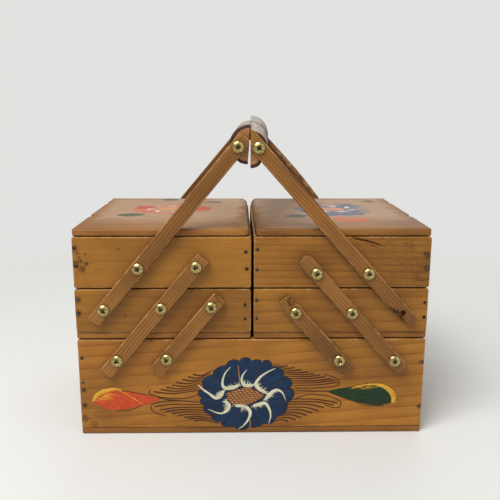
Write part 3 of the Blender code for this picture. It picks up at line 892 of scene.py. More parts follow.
# Wood split off the outer face at an arm's end, as (along, across) millimetres from its head screw
CHIPS = {"left_short_arm_front": ((6.6, -6.6), (7.8, -3.4), (7.0, -0.6), (8.8, 1.8), (9.6, 4.2),
                                  (12.6, 4.6), (14.0, -7.0)),
         "right_short_arm_front": ((5.4, -6.8), (7.2, -3.8), (6.4, -1.2), (8.2, 0.6), (10.6, -0.8),
                                   (14.0, -3.0), (13.0, -7.0))}
CHIP_DEPTH = 2.0 * MM


def warped(outline, side, waist, head):
    """Outline of a back arm that curves away above its waist, and broadens where it does."""
    bow, shift = BACK_ARM_WARP[side]
    result = []
    for point in outline:
        share = min(max((point.x - waist) / (head - waist), 0.0), 1.0)
        off = bow * math.sin(math.pi * share) + shift * share
        result.append(point + Vector((0, off * (1.0 if point.y > 0 else 0.6))))
    return result


def chip_cutter(node, axes, head):
    """Shallow cutter over the outline of a chip, on the outer face of a front arm."""
    cutter = prism([(u * MM, v * MM) for u, v in CHIPS[node]], -CHIP_DEPTH, 2 * MM)
    cutter.data.transform(axes_matrix(*axes, Vector((head.x, 0, head.y)) + axes[2] * ARM_FACE))
    return cutter


def handle_split_cutter(side, low, high):
    """Trims a handle arm's head level with the flat of its handle half."""
    half_low, half_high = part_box(f"{side}_handle_half")
    flat = half_high.x if side == "left" else half_low.x
    past = flat - SIDES[side] * 50 * MM
    return box_cutter(sorted((flat, past)), (low.y - 10 * MM, high.y + 10 * MM), (low.z, high.z + 50 * MM))


def add_arm(side, kind, face):
    node = f"{side}_{kind}_arm_{face}"
    foot, *others = LINKAGES[side][kind]
    line = (LINKAGES[side]["middle"][1] - LINKAGES[side]["middle"][0]).normalized()
    start, end = arm_reach(node, foot, line)
    low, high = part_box(node)
    thickness = high.y - low.y
    # u runs up the arm and w out of the box, so v is what is left
    along, out = Vector((line.x, 0, line.y)), Y * FACES[face]
    axes = (along, out.cross(along), out)
    if node == "right_handle_arm_front":
        outline = broken_foot(start, end)
    else:
        foot_r, head_r = (radius * MM for radius in ARM_CORNERS[side][kind])
        outline = rounded_outline((start, -ARM_HALF), (end, ARM_HALF), (foot_r, head_r, head_r, foot_r),
                                  5 * MM)
    waist, head = [(place - foot).dot(line) for place in (others[0], others[-1])]
    if kind == "handle" and face == "back":
        outline = warped(outline, side, waist, head)
    middle = Vector(((start + end) / 2, 0))
    outline = [point - middle for point in outline]
    draw = random.Random(node)

    def upper(point):
        """The right front handle arm has a long splinter gone from its upper right edge."""
        if node != "right_handle_arm_front" or point.y > -ARM_HALF + 0.5 * MM:
            return ARM_ROUND
        share = (point.x + middle.x - waist) / (head - waist)
        return ARM_ROUND + SPLINTER * ease(0.10, 0.35, share) * ease(0.98, 0.70, share)

    mesh = slab(node, outline, thickness, upper, lambda p: 0.6 * MM, draw.uniform(0, 50), 0.2 * MM)
    to_world = axes_matrix(*axes, Vector((foot.x, (low.y + high.y) / 2, foot.y)) + along * middle.x)
    cutters = [handle_split_cutter(side, low, high)] if kind == "handle" else []
    if node in CHIPS:
        cutters.append(chip_cutter(node, axes, others[0]))
    light = ARM_LIGHT[side][kind] * (1.0 if face == "front" else BACK_ARM_LIGHT[side])
    timber = Timber(node, light, 1.0, 0.78, (draw.choice((-1, 1)) * draw.uniform(0.04, 0.08), 0.02),
                    (draw.uniform(-0.02, 0.02), 0.0), 1.5)
    body = f"{side}_handle" if kind == "handle" else f"{side}_{kind}_arms"
    add_timber(f"{node}_wood", mesh, to_world, (end - start, 2 * ARM_HALF, thickness), timber, cutters,
               body, ARM_WOOD, node)


# --- Handle ------------------------------------------------------------------------------------
HANDLE_RINGS = 150
HANDLE_ARC = 28                  # faces round the bark
HANDLE_FLAT = 6                  # faces across the split
BARK_RIM = 2.3 * MM              # thickness of the bark, seen on the sawn ends
SAWN_EDGE = 0.0025               # share of the length over which the sawn ends are rounded
# Grooves round the branch: y, width, depth, and how much higher the wood is behind, in millimetres
GROOVES = {"left": ((-52, 0.7, 0.3, 0.0), (14, 0.6, 0.3, 0.0)),
           "right": ((-58, 0.8, 0.3, 0.0), (8, 1.4, 0.4, 0.8), (34, 0.7, 0.3, 0.0))}
FLAT_DRIFT = {"left": 3.9 * MM, "right": 3.5 * MM}   # how far the split has wandered at the back
FLAT_LEAN = {"left": 0.8 * MM, "right": 0.0}         # slope of the split face, opening downward
LOWER_LIP = {"left": 0.0, "right": 2.4 * MM}         # a lip along the lower edge, at the front


def handle_end(side, back):
    """Middle height and radius of a handle half at one end."""
    places = [v.co for v in frame["nodes"][f"{side}_handle_half"].data.vertices]
    limit = max(p.y for p in places) if back else min(p.y for p in places)
    heights = [p.z for p in places if abs(p.y - limit) < 0.1 * MM]
    return (min(heights) + max(heights)) / 2, (max(heights) - min(heights)) / 2


def add_handle_half(side):
    """Half of a split branch, with the ends sawn square and the bark left on its lower flank."""
    sign = SIDES[side]
    low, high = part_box(f"{side}_handle_half")
    flat_x = high.x if side == "left" else low.x
    (front_z, front_r), (back_z, back_r) = handle_end(side, False), handle_end(side, True)
    shape = bmesh.new()
    bark = shape.verts.layers.float.new("bark")
    groove = shape.verts.layers.float.new("groove")
    grooves = [[value * MM for value in worn] for worn in GROOVES[side]]

    def ring(share, shrink, rim_value=None):
        """D-shaped ring at a share of the length, its arc first and then its flat.

        shrink is its size against the branch's, and rim_value is the bark attribute of the whole arc
        where the ring is on a sawn end.
        """
        y = low.y + share * (high.y - low.y)
        centre, radius = front_z + share * (back_z - front_z), front_r + share * (back_r - front_r)
        face_x, lean = flat_x + FLAT_DRIFT[side] * share, FLAT_LEAN[side]
        verts = []
        for k in range(HANDLE_ARC + 1):
            turn = math.pi * (k / HANDLE_ARC - 0.5)
            local = Vector((y * 60, math.sin(turn) * 2.2, math.cos(turn) * 2.2 + sign * 9))
            dent = 0.35 * MM * (0.6 + noise.noise(local)) + 0.18 * MM * (0.6 + noise.noise(local * 4.3))
            line = sunk = 0.0
            for at, width, depth, rise in grooves:
                past = y - at + 1.2 * MM * math.sin(3 * turn)
                inside = math.exp(-(past / width) ** 2)
                line = max(line, inside)
                sunk += depth * inside - rise * ease(-0.5 * width, 0.5 * width, past)
            away = (radius - dent - sunk) * shrink
            away += LOWER_LIP[side] * ease(-0.70, -1.0, math.sin(turn)) * ease(0.30, 0.0, share) * shrink
            x = face_x + lean * (math.sin(turn) - 0.4) + sign * away * math.cos(turn)
            vertex = shape.verts.new((x, y, centre + away * math.sin(turn)))
            lit = ease(-0.45, 0.05, math.sin(turn) + 0.25 * noise.noise(local * 1.7))
            lit *= ease(0.004, 0.022, share + 0.006 * noise.noise(local * 3))
            vertex[bark] = 0.5 + 0.5 * lit if rim_value is None else rim_value
            # the groove mask, which the material darkens as painted shade
            vertex[groove] = line if rim_value is None else 0.0
            verts.append(vertex)
        top, bottom = verts[-1].co.z, verts[0].co.z
        for k in range(1, HANDLE_FLAT):
            height = 1 - 2 * k / HANDLE_FLAT
            vertex = shape.verts.new((face_x + lean * (height - 0.4), y,
                                      top + (bottom - top) * k / HANDLE_FLAT))
            vertex[bark] = 0.0
            verts.append(vertex)
        return verts if sign < 0 else verts[::-1]

    rim = 1 - BARK_RIM / front_r
    sawn = ((0, 0.45, 0.0), (0, rim - 0.06, 0.0), (0, rim, 0.45), (0, 0.955, 0.5), (SAWN_EDGE, 0.99, None))
    rings = [ring(*end) for end in sawn]
    rings += [ring(SAWN_EDGE + (1 - 2 * SAWN_EDGE) * k / HANDLE_RINGS, 1.0)
              for k in range(1, HANDLE_RINGS)]
    rings += [ring(1 - share, shrink, value) for share, shrink, value in sawn[::-1]]
    bridge(shape, rings)
    shape.faces.new(rings[0])
    shape.faces.new(rings[-1])
    bmesh.ops.recalc_face_normals(shape, faces=shape.faces[:])
    mesh = finish_mesh(shape, f"{side}_handle_half", 50)
    middle = Vector((flat_x, 0, (front_z + back_z) / 2))
    to_world = axes_matrix(Y, -X, Z, middle)
    piece = add_piece(f"{side}_handle_branch", mesh, f"{side}_handle", HANDLE_WOOD,
                      [f"{side}_handle_half"])
    stamp(piece.data, to_world.inverted(), (1, 1, 1),
          Timber(f"{side} handle", 1.0, 0.7, 0.0, (0.002, 0.0), (0.01, 0.01)))


# --- Screws and nails --------------------------------------------------------------------------
def screw_mesh():
    """Round-head brass screw along Z, its head seated on z = 0, with a cross recess."""
    shape = bmesh.new()
    shank, length, lip, steps = 2.1 * MM, 9.0 * MM, 0.35 * MM, 10
    crown = [(SCREW_RADIUS * math.cos(a), lip + (SCREW_DOME - lip) * math.sin(a))
             for a in (math.pi / 2 * k / steps for k in range(steps))]
    profile = [(0, -length), (shank * 0.8, -length), (shank, -length + 0.6 * MM), (shank, 0),
               (SCREW_RADIUS - 0.2 * MM, 0), (SCREW_RADIUS, 0.12 * MM)] + crown + [(0, SCREW_DOME)]
    turned(shape, profile, 40)
    screw = add_object("screw", finish_mesh(shape, "screw", 40))
    carve(screw, [recess_cutter(turn) for turn in (0, math.pi / 2)])
    mesh = screw.data
    mesh.materials.clear()
    bpy.data.objects.remove(screw, do_unlink=True)
    return mesh


def recess_cutter(turn):
    """One tapered slot of the cross recess."""
    shape = bmesh.new()
    rings = []
    for height, length, width in ((SCREW_DOME - 1.7 * MM, 1.0 * MM, 0.25 * MM),
                                  (SCREW_DOME + 0.2 * MM, 2.7 * MM, 0.66 * MM)):
        corners = ((-length, -width), (length, -width), (length, width), (-length, width))
        rings.append([shape.verts.new(Matrix.Rotation(turn, 3, "Z") @ Vector((x, y, height)))
                      for x, y in corners])
    close_tube(shape, rings)
    return add_object("recess", finish_mesh(shape, "recess"))


def add_screws():
    """Every pivot screw in the board that holds it, and the handle screws."""
    mesh = screw_mesh()
    for side in SIDES:
        middle, short, handle = (LINKAGES[side][kind] for kind in ("middle", "short", "handle"))
        holders = {"middle_arm_foot": (middle[0], "base"),
                   "middle_arm_waist": (middle[1], f"{side}_middle_tray"),
                   "middle_arm_head": (middle[2], f"{side}_top_tray"),
                   "short_arm_foot": (short[0], "base"),
                   "short_arm_head": (short[1], f"{side}_middle_tray"),
                   "handle_arm_foot": (handle[0], f"{side}_middle_tray"),
                   "handle_arm_waist": (handle[1], f"{side}_top_tray"),
                   "handle": (handle[2], f"{side}_handle")}
        for face, sign in FACES.items():
            for label, (at, body) in holders.items():
                if (side, face, label) == ("right", "front", "handle_arm_foot"):
                    continue     # this screw is lost
                name = f"{side}_{label}_screw_{face}"
                draw = random.Random(name)
                tilt = Matrix.Rotation(math.radians(draw.uniform(-3, 3)), 4, "X")
                spin = Matrix.Rotation(draw.uniform(0, math.pi / 2), 4, "Z")
                face_out = Matrix.Rotation(-sign * math.pi / 2, 4, "X")
                place = Matrix.Translation((at.x, sign * HEAD_SEAT, at.y)) @ face_out @ tilt @ spin
                node = [f"{side}_handle_screw_{face}"] if label == "handle" else []
                shown = f"{name}_brass" if node else name
                add_piece(shown, mesh, body, BRASS, node, place)


NAIL_HEAD = 1.55 * MM
NAIL_STEPS = 18
# Nails in the front boards, as (x, z). The back boards have them in the same places
FRONT_NAILS = {
    "base": ((-141.7, 68.7), (-141.4, 26.4), (-141.8, 47.0), (142.2, 63.8), (142.6, 23.7)),
    "left_middle_tray": ((-142.4, 119.1), (-142.6, 107.8), (-6.0, 114.4), (-6.0, 102.3)),
    "right_middle_tray": ((3.4, 118.6), (3.4, 103.2), (142.4, 116.0), (142.2, 103.5)),
    "left_top_tray": ((-142.6, 162.5), (-142.2, 147.6), (-5.3, 159.0), (-4.6, 144.9)),
    "right_top_tray": ((3.9, 161.4), (3.7, 144.0), (141.5, 156.3), (142.0, 145.4)),
}
FLOOR_NAIL_SPACING = 55 * MM


def nail_profile(draw):
    rise = draw.uniform(0.05, 0.35) * MM
    radius = NAIL_HEAD * draw.uniform(0.85, 1.05)
    return [(0, -2 * MM), (0.8 * MM, -2 * MM), (0.8 * MM, -0.3 * MM), (radius, -0.3 * MM),
            (radius, rise * 0.4), (radius - 0.35 * MM, rise), (0.5 * radius, rise + 0.08 * MM),
            (0, rise + 0.1 * MM)]


def add_nails():
    """The visible nail heads of each box: in the front and back boards, and round the floor panel."""
    for prefix, places in FRONT_NAILS.items():
        draw = random.Random(prefix)
        shape = bmesh.new()
        for sign in FACES.values():
            for x, z in places:
                out = Matrix.Rotation(-sign * math.pi / 2, 4, "X")
                at = Matrix.Translation((x * MM, sign * -FRONT_Y, z * MM))
                turned(shape, nail_profile(draw), NAIL_STEPS, at @ out)
        low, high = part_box(f"{prefix}_floor")
        down = Matrix.Rotation(math.pi, 4, "X")
        count = round((high.x - low.x) / FLOOR_NAIL_SPACING)
        for y in (low.y + WALL / 2, high.y - WALL / 2):
            for k in range(count + 1):
                x = low.x + WALL + (high.x - low.x - 2 * WALL) * k / count
                at = Matrix.Translation((x, y, low.z + 0.50 * MM))
                turned(shape, nail_profile(draw), NAIL_STEPS, at @ down)
        mesh = finish_mesh(shape, f"{prefix}_nails", 35)
        add_piece(f"{prefix}_nails", mesh, prefix, NAIL_STEEL)


# --- Painting: strokes and patches -------------------------------------------------------------
PAINT_FOOT = -0.08               # how far a stroke reaches into the wood, in millimetres
# Cross-sections of paint, as (share of the width, share of the rise): a ribbon's, from its right edge
# to its left edge, and a patch's and a flower's, from the edge inward
RIBBON = ((0.92, 0.35), (0.45, 0.85), (0, 1), (-0.45, 0.85), (-0.92, 0.35))
PATCH = ((0.995, 0.3), (0.96, 0.9), (0.80, 1), (0.5, 1), (0.2, 1))
PETALS = ((0.998, 0.3), (0.98, 0.9), (0.85, 1), (0.6, 1), (0.35, 1), (0.15, 1))
PETAL_STEPS = 10                 # edge points from one lobe of a flower to the next
PATCH_STEPS = 4                  # edge points from one given point of a patch to the next
FRONT_PLANE = axes_matrix(X, Z, -Y, Vector((0, FRONT_Y, 0)))
LID_PLANE = axes_matrix(X, Y, Z, Vector((0, 0, LID_TOP)))


def smooth_path(points, steps, closed=False):
    """Catmull-Rom curve through points."""
    points = [Vector(point) for point in points]
    count = len(points)
    if closed:
        padded = [points[-1]] + points + points[:2]
    else:
        padded = [2 * points[0] - points[1]] + points + [2 * points[-1] - points[-2]]
    spans = count if closed else count - 1
    path = []
    for k in range(spans):
        before, start, end, after = padded[k:k + 4]
        for step in range(steps):
            t = step / steps
            path.append(0.5 * (2 * start + (end - before) * t
                               + (2 * before - 5 * start + 4 * end - after) * t * t
                               + (3 * start - before - 3 * end + after) * t ** 3))
    return path if closed else path + [points[-1]]


class Painting:
    """Strokes of one colour, gathered in one mesh. Millimetres in the plane, and above it."""

    def __init__(self):
        self.shape = bmesh.new()
        self.brush = self.shape.verts.layers.float_vector.new("brush")

    def vertex(self, place, brush):
        made = self.shape.verts.new(place)
        made[self.brush] = brush
        return made

    def stroke(self, points, widths, lift, rise=0.16, steps=6):
        """Ribbon of paint along a curve. widths are half-widths, spread evenly from start to end."""
        path = smooth_path(points, steps)
        seed = path[0].x * 7 + path[0].y * 3
        rings, travelled = [], 0.0
        for k, point in enumerate(path):
            ahead, behind = path[min(k + 1, len(path) - 1)], path[max(k - 1, 0)]
            side = left_of((ahead - behind).normalized())
            travelled += (point - behind).length if k else 0.0
            share = k / (len(path) - 1) * (len(widths) - 1)
            first = min(int(share), len(widths) - 2)
            half = widths[first] + (widths[first + 1] - widths[first]) * (share - first)
            taper = min(1.0, (0.35 + travelled / max(half, 0.05)))
            half *= taper * (1 + 0.10 * rough(point, 0.9, seed))
            section = [(-1, PAINT_FOOT), (1, PAINT_FOOT)] + [(v, lift + up * rise) for v, up in RIBBON]
            rings.append([self.vertex((*(point + side * half * v), height),
                                      (travelled * 0.10 + seed, v * half * 1.6, seed))
                          for v, height in section])
        close_tube(self.shape, [ring[::-1] for ring in rings][::-1])

    def flick(self, start, reach, widths, lift, rise):
        """Short straight stroke, such as a few bristles leave."""
        self.stroke((start, start + reach * 0.5, start + reach), widths, lift, rise, 4)

    def patch(self, points, lift, rise=0.16, grain=(1.0, 0.0)):
        """Filled shape. grain is the way the brush went."""
        outline = smooth_path(points, PATCH_STEPS, closed=True)
        if sum(a.x * b.y - b.x * a.y for a, b in zip(outline, outline[1:] + outline[:1])) < 0:
            outline.reverse()
        centre = sum(outline, Vector((0, 0))) / len(outline)
        along = Vector(grain).normalized()
        across = left_of(along)
        rings = []
        for scale, height in [(1.0, PAINT_FOOT)] + [(scale, lift + up * rise) for scale, up in PATCH]:
            places = [centre + (point - centre) * scale for point in outline]
            rings.append([self.vertex((*p, height), (p.dot(along) * 0.10, p.dot(across) * 1.5, centre.x))
                          for p in places])
        close_tube(self.shape, rings)

    def petals(self, centre, lobes, dip, lift, rise=0.18):
        """Scalloped flower through the tips of its lobes, brushed outward from the centre."""
        centre = Vector(centre)
        polar = sorted((math.atan2(y - centre.y, x - centre.x), (Vector((x, y)) - centre).length)
                       for x, y in lobes)
        polar.append((polar[0][0] + 2 * math.pi, polar[0][1]))
        edge = []
        for (start, first), (end, second) in zip(polar, polar[1:]):
            for k in range(PETAL_STEPS):
                t = k / PETAL_STEPS
                nearness = 2 * min(t, 1 - t)
                radius = (first + (second - first) * t) * (1 - dip * nearness ** 2.4)
                edge.append((start + (end - start) * t, radius))
        rings = []
        for scale, height in [(1.0, PAINT_FOOT)] + [(scale, lift + up * rise) for scale, up in PETALS]:
            rings.append([self.vertex((centre.x + radius * scale * math.cos(a),
                                       centre.y + radius * scale * math.sin(a), height),
                                      (9 * math.cos(a), 9 * math.sin(a), 1.3 * scale + centre.x))
                          for a, radius in edge])
        close_tube(self.shape, rings)

    def lay(self, name, material, side=None):
        """Put the strokes on the front of the base, or on a lid, where the wood shows through them."""
        mesh = finish_mesh(self.shape, name, 60)
        mesh.transform((LID_PLANE if side else FRONT_PLANE) @ Matrix.Scale(MM, 4))
        if side:
            to_world, size = lid_frame(side)
            stamp(mesh, to_world.inverted(), size, LID_TIMBER[side])
        add_piece(name, mesh, f"{side}_lid" if side else "base", material)


# --- Painting on the base ----------------------------------------------------------------------
FLOWER = (-5.5, 34.8)
LOBES = ((-5.2, 68.4), (-17.1, 66.2), (-29, 59.1), (-40.8, 48.9), (-45.6, 36.1), (-43.8, 28.4),
         (-40.8, 20.7), (-31.9, 11.1), (-24.2, 6.6), (-8.2, 2.8), (3.7, 5.4), (17.4, 9.2),
         (27.5, 18.2), (35.8, 36.1), (33.4, 47), (24.5, 57.8), (12.6, 66.2), (5.5, 66.2))
# Comma strokes, from the thick base beside the flower's eye to the thin tip
COMMAS = (((-11.1, 43.8), (-17, 41.4), (-23, 41.4), (-25.0, 45.7), (-23, 54), (-18.3, 60.1)),
          ((0.7, 43.8), (-3.4, 43.2), (-7, 44.4), (-8.8, 48.9), (-7.3, 54), (-4.3, 57.8)),
          ((12, 36.7), (6.7, 39.9), (3.2, 44.6), (6.7, 50.8), (12.6, 55.3), (19.7, 58.8)),
          ((11.4, 31), (15.6, 36.1), (20.9, 39.3), (25.7, 36.7), (28.7, 29.7)),
          ((0.7, 24.6), (6.7, 26.5), (11.4, 27.0), (15.0, 21.4), (15.9, 15), (14.4, 8.6)),
          ((-14.7, 25.2), (-6.4, 24.6), (-1.6, 19.4), (-2.8, 13), (-6.4, 7.6), (-11.1, 3.4)),
          ((-23, 29.7), (-19.5, 25.2), (-21.8, 20.1), (-27.8, 18.2), (-37.3, 22)),
          ((-24.2, 39.3), (-26.6, 34.2), (-31, 32.4), (-36.1, 36.1), (-42.6, 41.2), (-45.3, 44.4)))
CREASES = (((-11.6, 62), (-11.0, 52), (-10.4, 43.6)), ((4.6, 63), (3.6, 54), (1.8, 45)),
           ((18, 60), (12.5, 52), (8, 44)), ((30, 52), (20, 44), (12, 38)),
           ((34, 40), (24, 37), (14, 34)), ((31.5, 27), (22, 29), (12, 30.5)),
           ((22, 13), (15, 20), (8, 27)), ((11, 5), (6, 14), (2, 24)), ((-1.8, 4), (-1.6, 12), (-2, 24)),
           ((-16, 4), (-13, 14), (-9, 24)), ((-27, 9), (-21, 17), (-15, 26)),
           ((-36.5, 16), (-28, 22), (-19, 29)), ((-42, 24.5), (-31, 29), (-22, 33)),
           ((-44, 42), (-33, 39.5), (-23, 38)), ((-35, 53), (-28, 47), (-20, 41)),
           ((-23, 62), (-19, 53), (-15, 43)))
EYE = ((-21.9, 36.8), (-13, 40), (-3.5, 42.5), (4, 38.6), (10.8, 34.1), (3.5, 29.2), (-5.2, 25.2),
       (-11.5, 25), (-17.2, 26), (-20.2, 31))
# Feather lines: tips with a dot, where the lines of the first and of the last tip meet the flower
FEATHERS = {
    "left_upper": (((-49.1, 53.6), (-53.3, 51.5), (-58.1, 49.1), (-63.7, 46.4), (-66.9, 44), (-71.8, 42),
                    (-76.6, 40.2), (-82.2, 38.2)), (-33, 57.4), (-44.6, 39.5), -2.4),
    "left_lower": (((-48.4, 11.5), (-53.3, 13.3), (-57.2, 14.6), (-63, 16.3), (-67.6, 18.2),
                    (-73.1, 20.1), (-77, 21.8), (-81.8, 24.9)), (-28, 8.6), (-43.6, 26.0), 1.2),
    "right_upper": (((29, 61.1), (35.3, 59.4), (40.8, 57.3), (46.3, 55.2), (51.8, 53.9), (56.9, 52.5),
                     (61.2, 51), (66.7, 49.1), (69.8, 47.6), (72.2, 45.9)), (18.5, 62.6), (34.8, 43.2), -1.0),
    "right_lower": (((30.5, 10.2), (36.8, 11.7), (41.5, 13.8), (46.3, 15.8), (51, 18.2), (56.1, 20.3),
                     (60.8, 23), (69.1, 25.3), (72.6, 27)), (20.0, 10.6), (33.2, 31.0), 1.6),
}
# Outer feather lines that turn back at their ends
LOOPS = (((-45.6, 35.4), (-52, 33.0), (-61.4, 31.8), (-75, 32.8), (-84.9, 35.3), (-87.0, 37.6),
          (-85.7, 39.9)),
         ((-44.5, 27.9), (-56, 29.5), (-67.9, 29.8), (-80.9, 28.3), (-85.7, 24.9), (-82.8, 19.4),
          (-73.7, 16)),
         ((35.3, 40.7), (47, 40.7), (58.8, 41.3), (71.4, 42.6), (74.0, 45.9), (69.8, 50.1), (60.4, 53.3)),
         ((35.3, 30.0), (42, 33.4), (50.2, 35.2), (65.1, 33.3), (75.3, 28.3), (74.6, 23.2), (69.8, 22.8),
          (62, 25.3)),
         ((-84.0, 35.0), (-74, 31.4), (-61, 29.9)), ((35.5, 38.6), (52, 38.0), (65.8, 37.8)))
BUD = ((-77.9, 31.2), (-92, 35.5), (-109, 39), (-120.6, 41.5), (-130, 37.4), (-134.6, 30.4), (-130, 26.5),
       (-121.5, 22.4), (-111.2, 21.6), (-98, 24.5), (-86, 28))
LEAF = ((64.5, 37.9), (82.6, 41.6), (98.3, 43.4), (110, 42), (119, 36), (120, 28), (112, 25.2),
        (103.9, 24.8), (87.9, 27.9), (75, 32.6))
# Thin dark lines above and below the bud, and above and below the leaf
CONTOURS = (((-111, 39.6), (-94, 36.4), (-77.5, 31.2)), ((-117, 20.6), (-104, 21.6), (-92, 26.2)),
            ((90, 43), (98, 44.6), (105.3, 44.8)), ((88, 27.2), (100, 24.2), (112, 24.4)))
FEATHER_DOT = 0.80


def paint_flower():
    """Blue petals with a dark outline and creases, and the tan ground of the eye."""
    centre = Vector(FLOWER)
    outline = Painting()
    outline.petals(FLOWER, [centre + (Vector(tip) - centre) * 1.018 for tip in LOBES], 0.075, 0.0, 0.06)
    outline.lay("flower_outline", LINE_PAINT)
    blue = Painting()
    blue.petals(FLOWER, LOBES, 0.085, 0.06)
    blue.lay("flower_petals", NAVY_PAINT)
    creases = Painting()
    for line in CREASES:
        creases.stroke(line, (0.30, 0.34, 0.22), 0.18, 0.07)
    creases.lay("flower_creases", LINE_PAINT)
    tan = Painting()
    tan.patch(EYE, 0.20, 0.12, (1, -0.1))
    tan.stroke(CREASES[0][:2] + ((-10.2, 46),), (0.25, 0.36, 0.26), 0.20, 0.10)
    tan.stroke(((-1.9, 3.6), (-1.4, 8.6), (-1.7, 13)), (0.36, 0.40, 0.2), 0.20, 0.10)
    tan.lay("flower_eye", TAN_PAINT)


def paint_commas():
    """Cream comma strokes, with the marks of single bristles round their thick ends."""
    centre = Vector(FLOWER)
    draw = random.Random("bristles")
    cream = Painting()
    for line in COMMAS:
        cream.stroke(line, (1.35, 1.70, 1.55, 1.05, 0.66, 0.22), 0.24, 0.20)
        base = (Vector(line[0]) + Vector(line[1])) / 2
        for _ in range(15):
            start = base.lerp(Vector(line[2]), draw.uniform(-0.6, 0.9))
            away = (start - centre).normalized()
            away.rotate(Matrix.Rotation(draw.uniform(-0.35, 0.35), 2))
            cream.flick(start, away * draw.uniform(2.2, 5.0), (0.38, 0.20, 0.05), 0.24, 0.08)
    cream.lay("flower_highlights", CREAM_PAINT)


def in_eye(point):
    """True where a point is inside the flower's eye."""
    inside = False
    for (x0, y0), (x1, y1) in zip(EYE, EYE[1:] + EYE[:1]):
        if (y0 > point.y) != (y1 > point.y) and point.x < (x1 - x0) * (point.y - y0) / (y1 - y0) + x0:
            inside = not inside
    return inside


def paint_hatching():
    """Two sets of parallel lines, cut off at the eye's edge, and the edge itself."""
    hatch = Painting()
    centre = Vector((-5.4, 33.9))
    for turn, pitch, count in ((-7, 1.9, 5), (-52, 2.7, 7)):
        along = heading(math.radians(turn))
        across = left_of(along)
        for k in range(-count, count + 1):
            row = [centre + across * pitch * k + along * step * 0.5 for step in range(-48, 49)]
            kept = [point for point in row if in_eye(point)]
            if len(kept) > 3:
                hatch.stroke((kept[0], kept[len(kept) // 2], kept[-1]), (0.38, 0.34, 0.28), 0.30, 0.08)
    for corners in zip(EYE, EYE[1:] + EYE[:1]):
        hatch.stroke(corners, (0.42, 0.42), 0.30, 0.08)
    hatch.lay("flower_eye_hatching", HATCH_PAINT)


def paint_feathers():
    """Thin dark lines that fan out from both sides of the flower, and round the bud and the leaf."""
    lines = Painting()
    for tips, first_end, last_end, sag in FEATHERS.values():
        for k, tip in enumerate(tips):
            share = k / (len(tips) - 1)
            end = Vector(first_end).lerp(Vector(last_end), share)
            start = Vector(tip)
            middle = start.lerp(end, 0.42) + Vector((0, sag))
            lines.stroke((start, middle, end), (0.74, 0.64, 0.52, 0.42), 0.02, 0.08, 8)
            lines.patch(ellipse(tip, FEATHER_DOT, FEATHER_DOT), 0.02)
    for line in LOOPS:
        lines.stroke(line, (0.42, 0.54, 0.52, 0.42), 0.02, 0.08)
    lines.patch(ellipse((-87.9, 42), 0.6, 0.6), 0.02)
    for line in CONTOURS:
        lines.stroke(line, (0.30, 0.50, 0.32), 0.02, 0.08)
    lines.lay("feather_lines", LINE_PAINT)


def paint_bud_and_leaf():
    draw = random.Random("bud")
    red = Painting()
    red.patch(BUD, 0.04, 0.16, (1, 0.1))
    red.lay("bud_red", RED_PAINT)
    yellow = Painting()
    yellow.stroke(((-134.8, 29.6), (-131, 34.8), (-125, 38.4), (-117, 40.6), (-110, 40.2)),
                  (0.9, 2.0, 2.1, 1.3, 0.5), 0.10, 0.18)
    for _ in range(16):
        start = Vector((-133.5, 30.5)).lerp(Vector((-119, 39.0)), draw.random())
        reach = Vector((draw.uniform(4, 11), draw.uniform(-3.0, -0.4)))
        yellow.flick(start, reach, (0.5, 0.34, 0.06), 0.12, 0.10)
    yellow.stroke(((-112.5, 39.8), (-103, 34.4), (-92.2, 26.6)), (0.42, 0.32, 0.24), 0.16, 0.10)
    yellow.stroke(((84, 40.8), (95, 43.4), (106, 43.6), (115, 40), (120.2, 33.6), (120.4, 27.2)),
                  (0.3, 0.6, 1.1, 2.0, 2.3, 1.6), 0.12, 0.20)
    for _ in range(9):
        start = Vector((92 + draw.uniform(0, 18), 42.2 + draw.uniform(-0.6, 0.4)))
        reach = Vector((draw.uniform(-14, -6), draw.uniform(-3.2, -1.2)))
        yellow.flick(start, reach, (0.30, 0.22, 0.05), 0.14, 0.08)
    yellow.lay("bud_and_leaf_yellow", YELLOW_PAINT)
    green = Painting()
    green.patch(LEAF, 0.04, 0.16, (1, 0.05))
    green.lay("leaf_green", GREEN_PAINT)


# --- Painting on the lids, rubbed away by use --------------------------------------------------
@dataclass(frozen=True)
class LidFlower:
    """A flower on a lid, in millimetres."""
    centre: tuple
    reach: tuple                 # half its width and half its depth
    petals: tuple                # colour and streak of the petals
    eye: tuple                   # colour and streak of the eye
    leaves: tuple                # (middle, length, half-width, turn in degrees)
    accents: tuple               # patches of a third colour, as (x, y, radius)
    accent: tuple                # their colour and streak


LID_FLOWERS = {
    "left": LidFlower((-77, 14), (37, 33), (srgb(190, 92, 66), srgb(198, 128, 96)),
                      (srgb(206, 140, 84), srgb(194, 112, 72)),
                      (((-108, -21), 26, 8.5, 4), ((-84, 76), 22, 8.0, -8), ((-37, 58), 20, 8.0, 12)),
                      ((-46, 16, 7.5), (-100, 24, 8)), (srgb(184, 46, 34), srgb(196, 76, 52))),
    "right": LidFlower((79, 13), (38, 44), (srgb(66, 88, 114), srgb(112, 126, 140)),
                       (srgb(200, 120, 96), srgb(206, 160, 140)),
                       (((41, -27), 21, 9.0, 6), ((122, 64), 16, 6.0, -18)),
                       ((80, -44, 8.0), (93, -47, 6.5)), (srgb(196, 70, 38), srgb(214, 146, 62))),
}
FADED_GREEN = (srgb(38, 66, 38), srgb(76, 98, 64))
FADED_WHITE = (srgb(222, 214, 200), srgb(190, 186, 176))


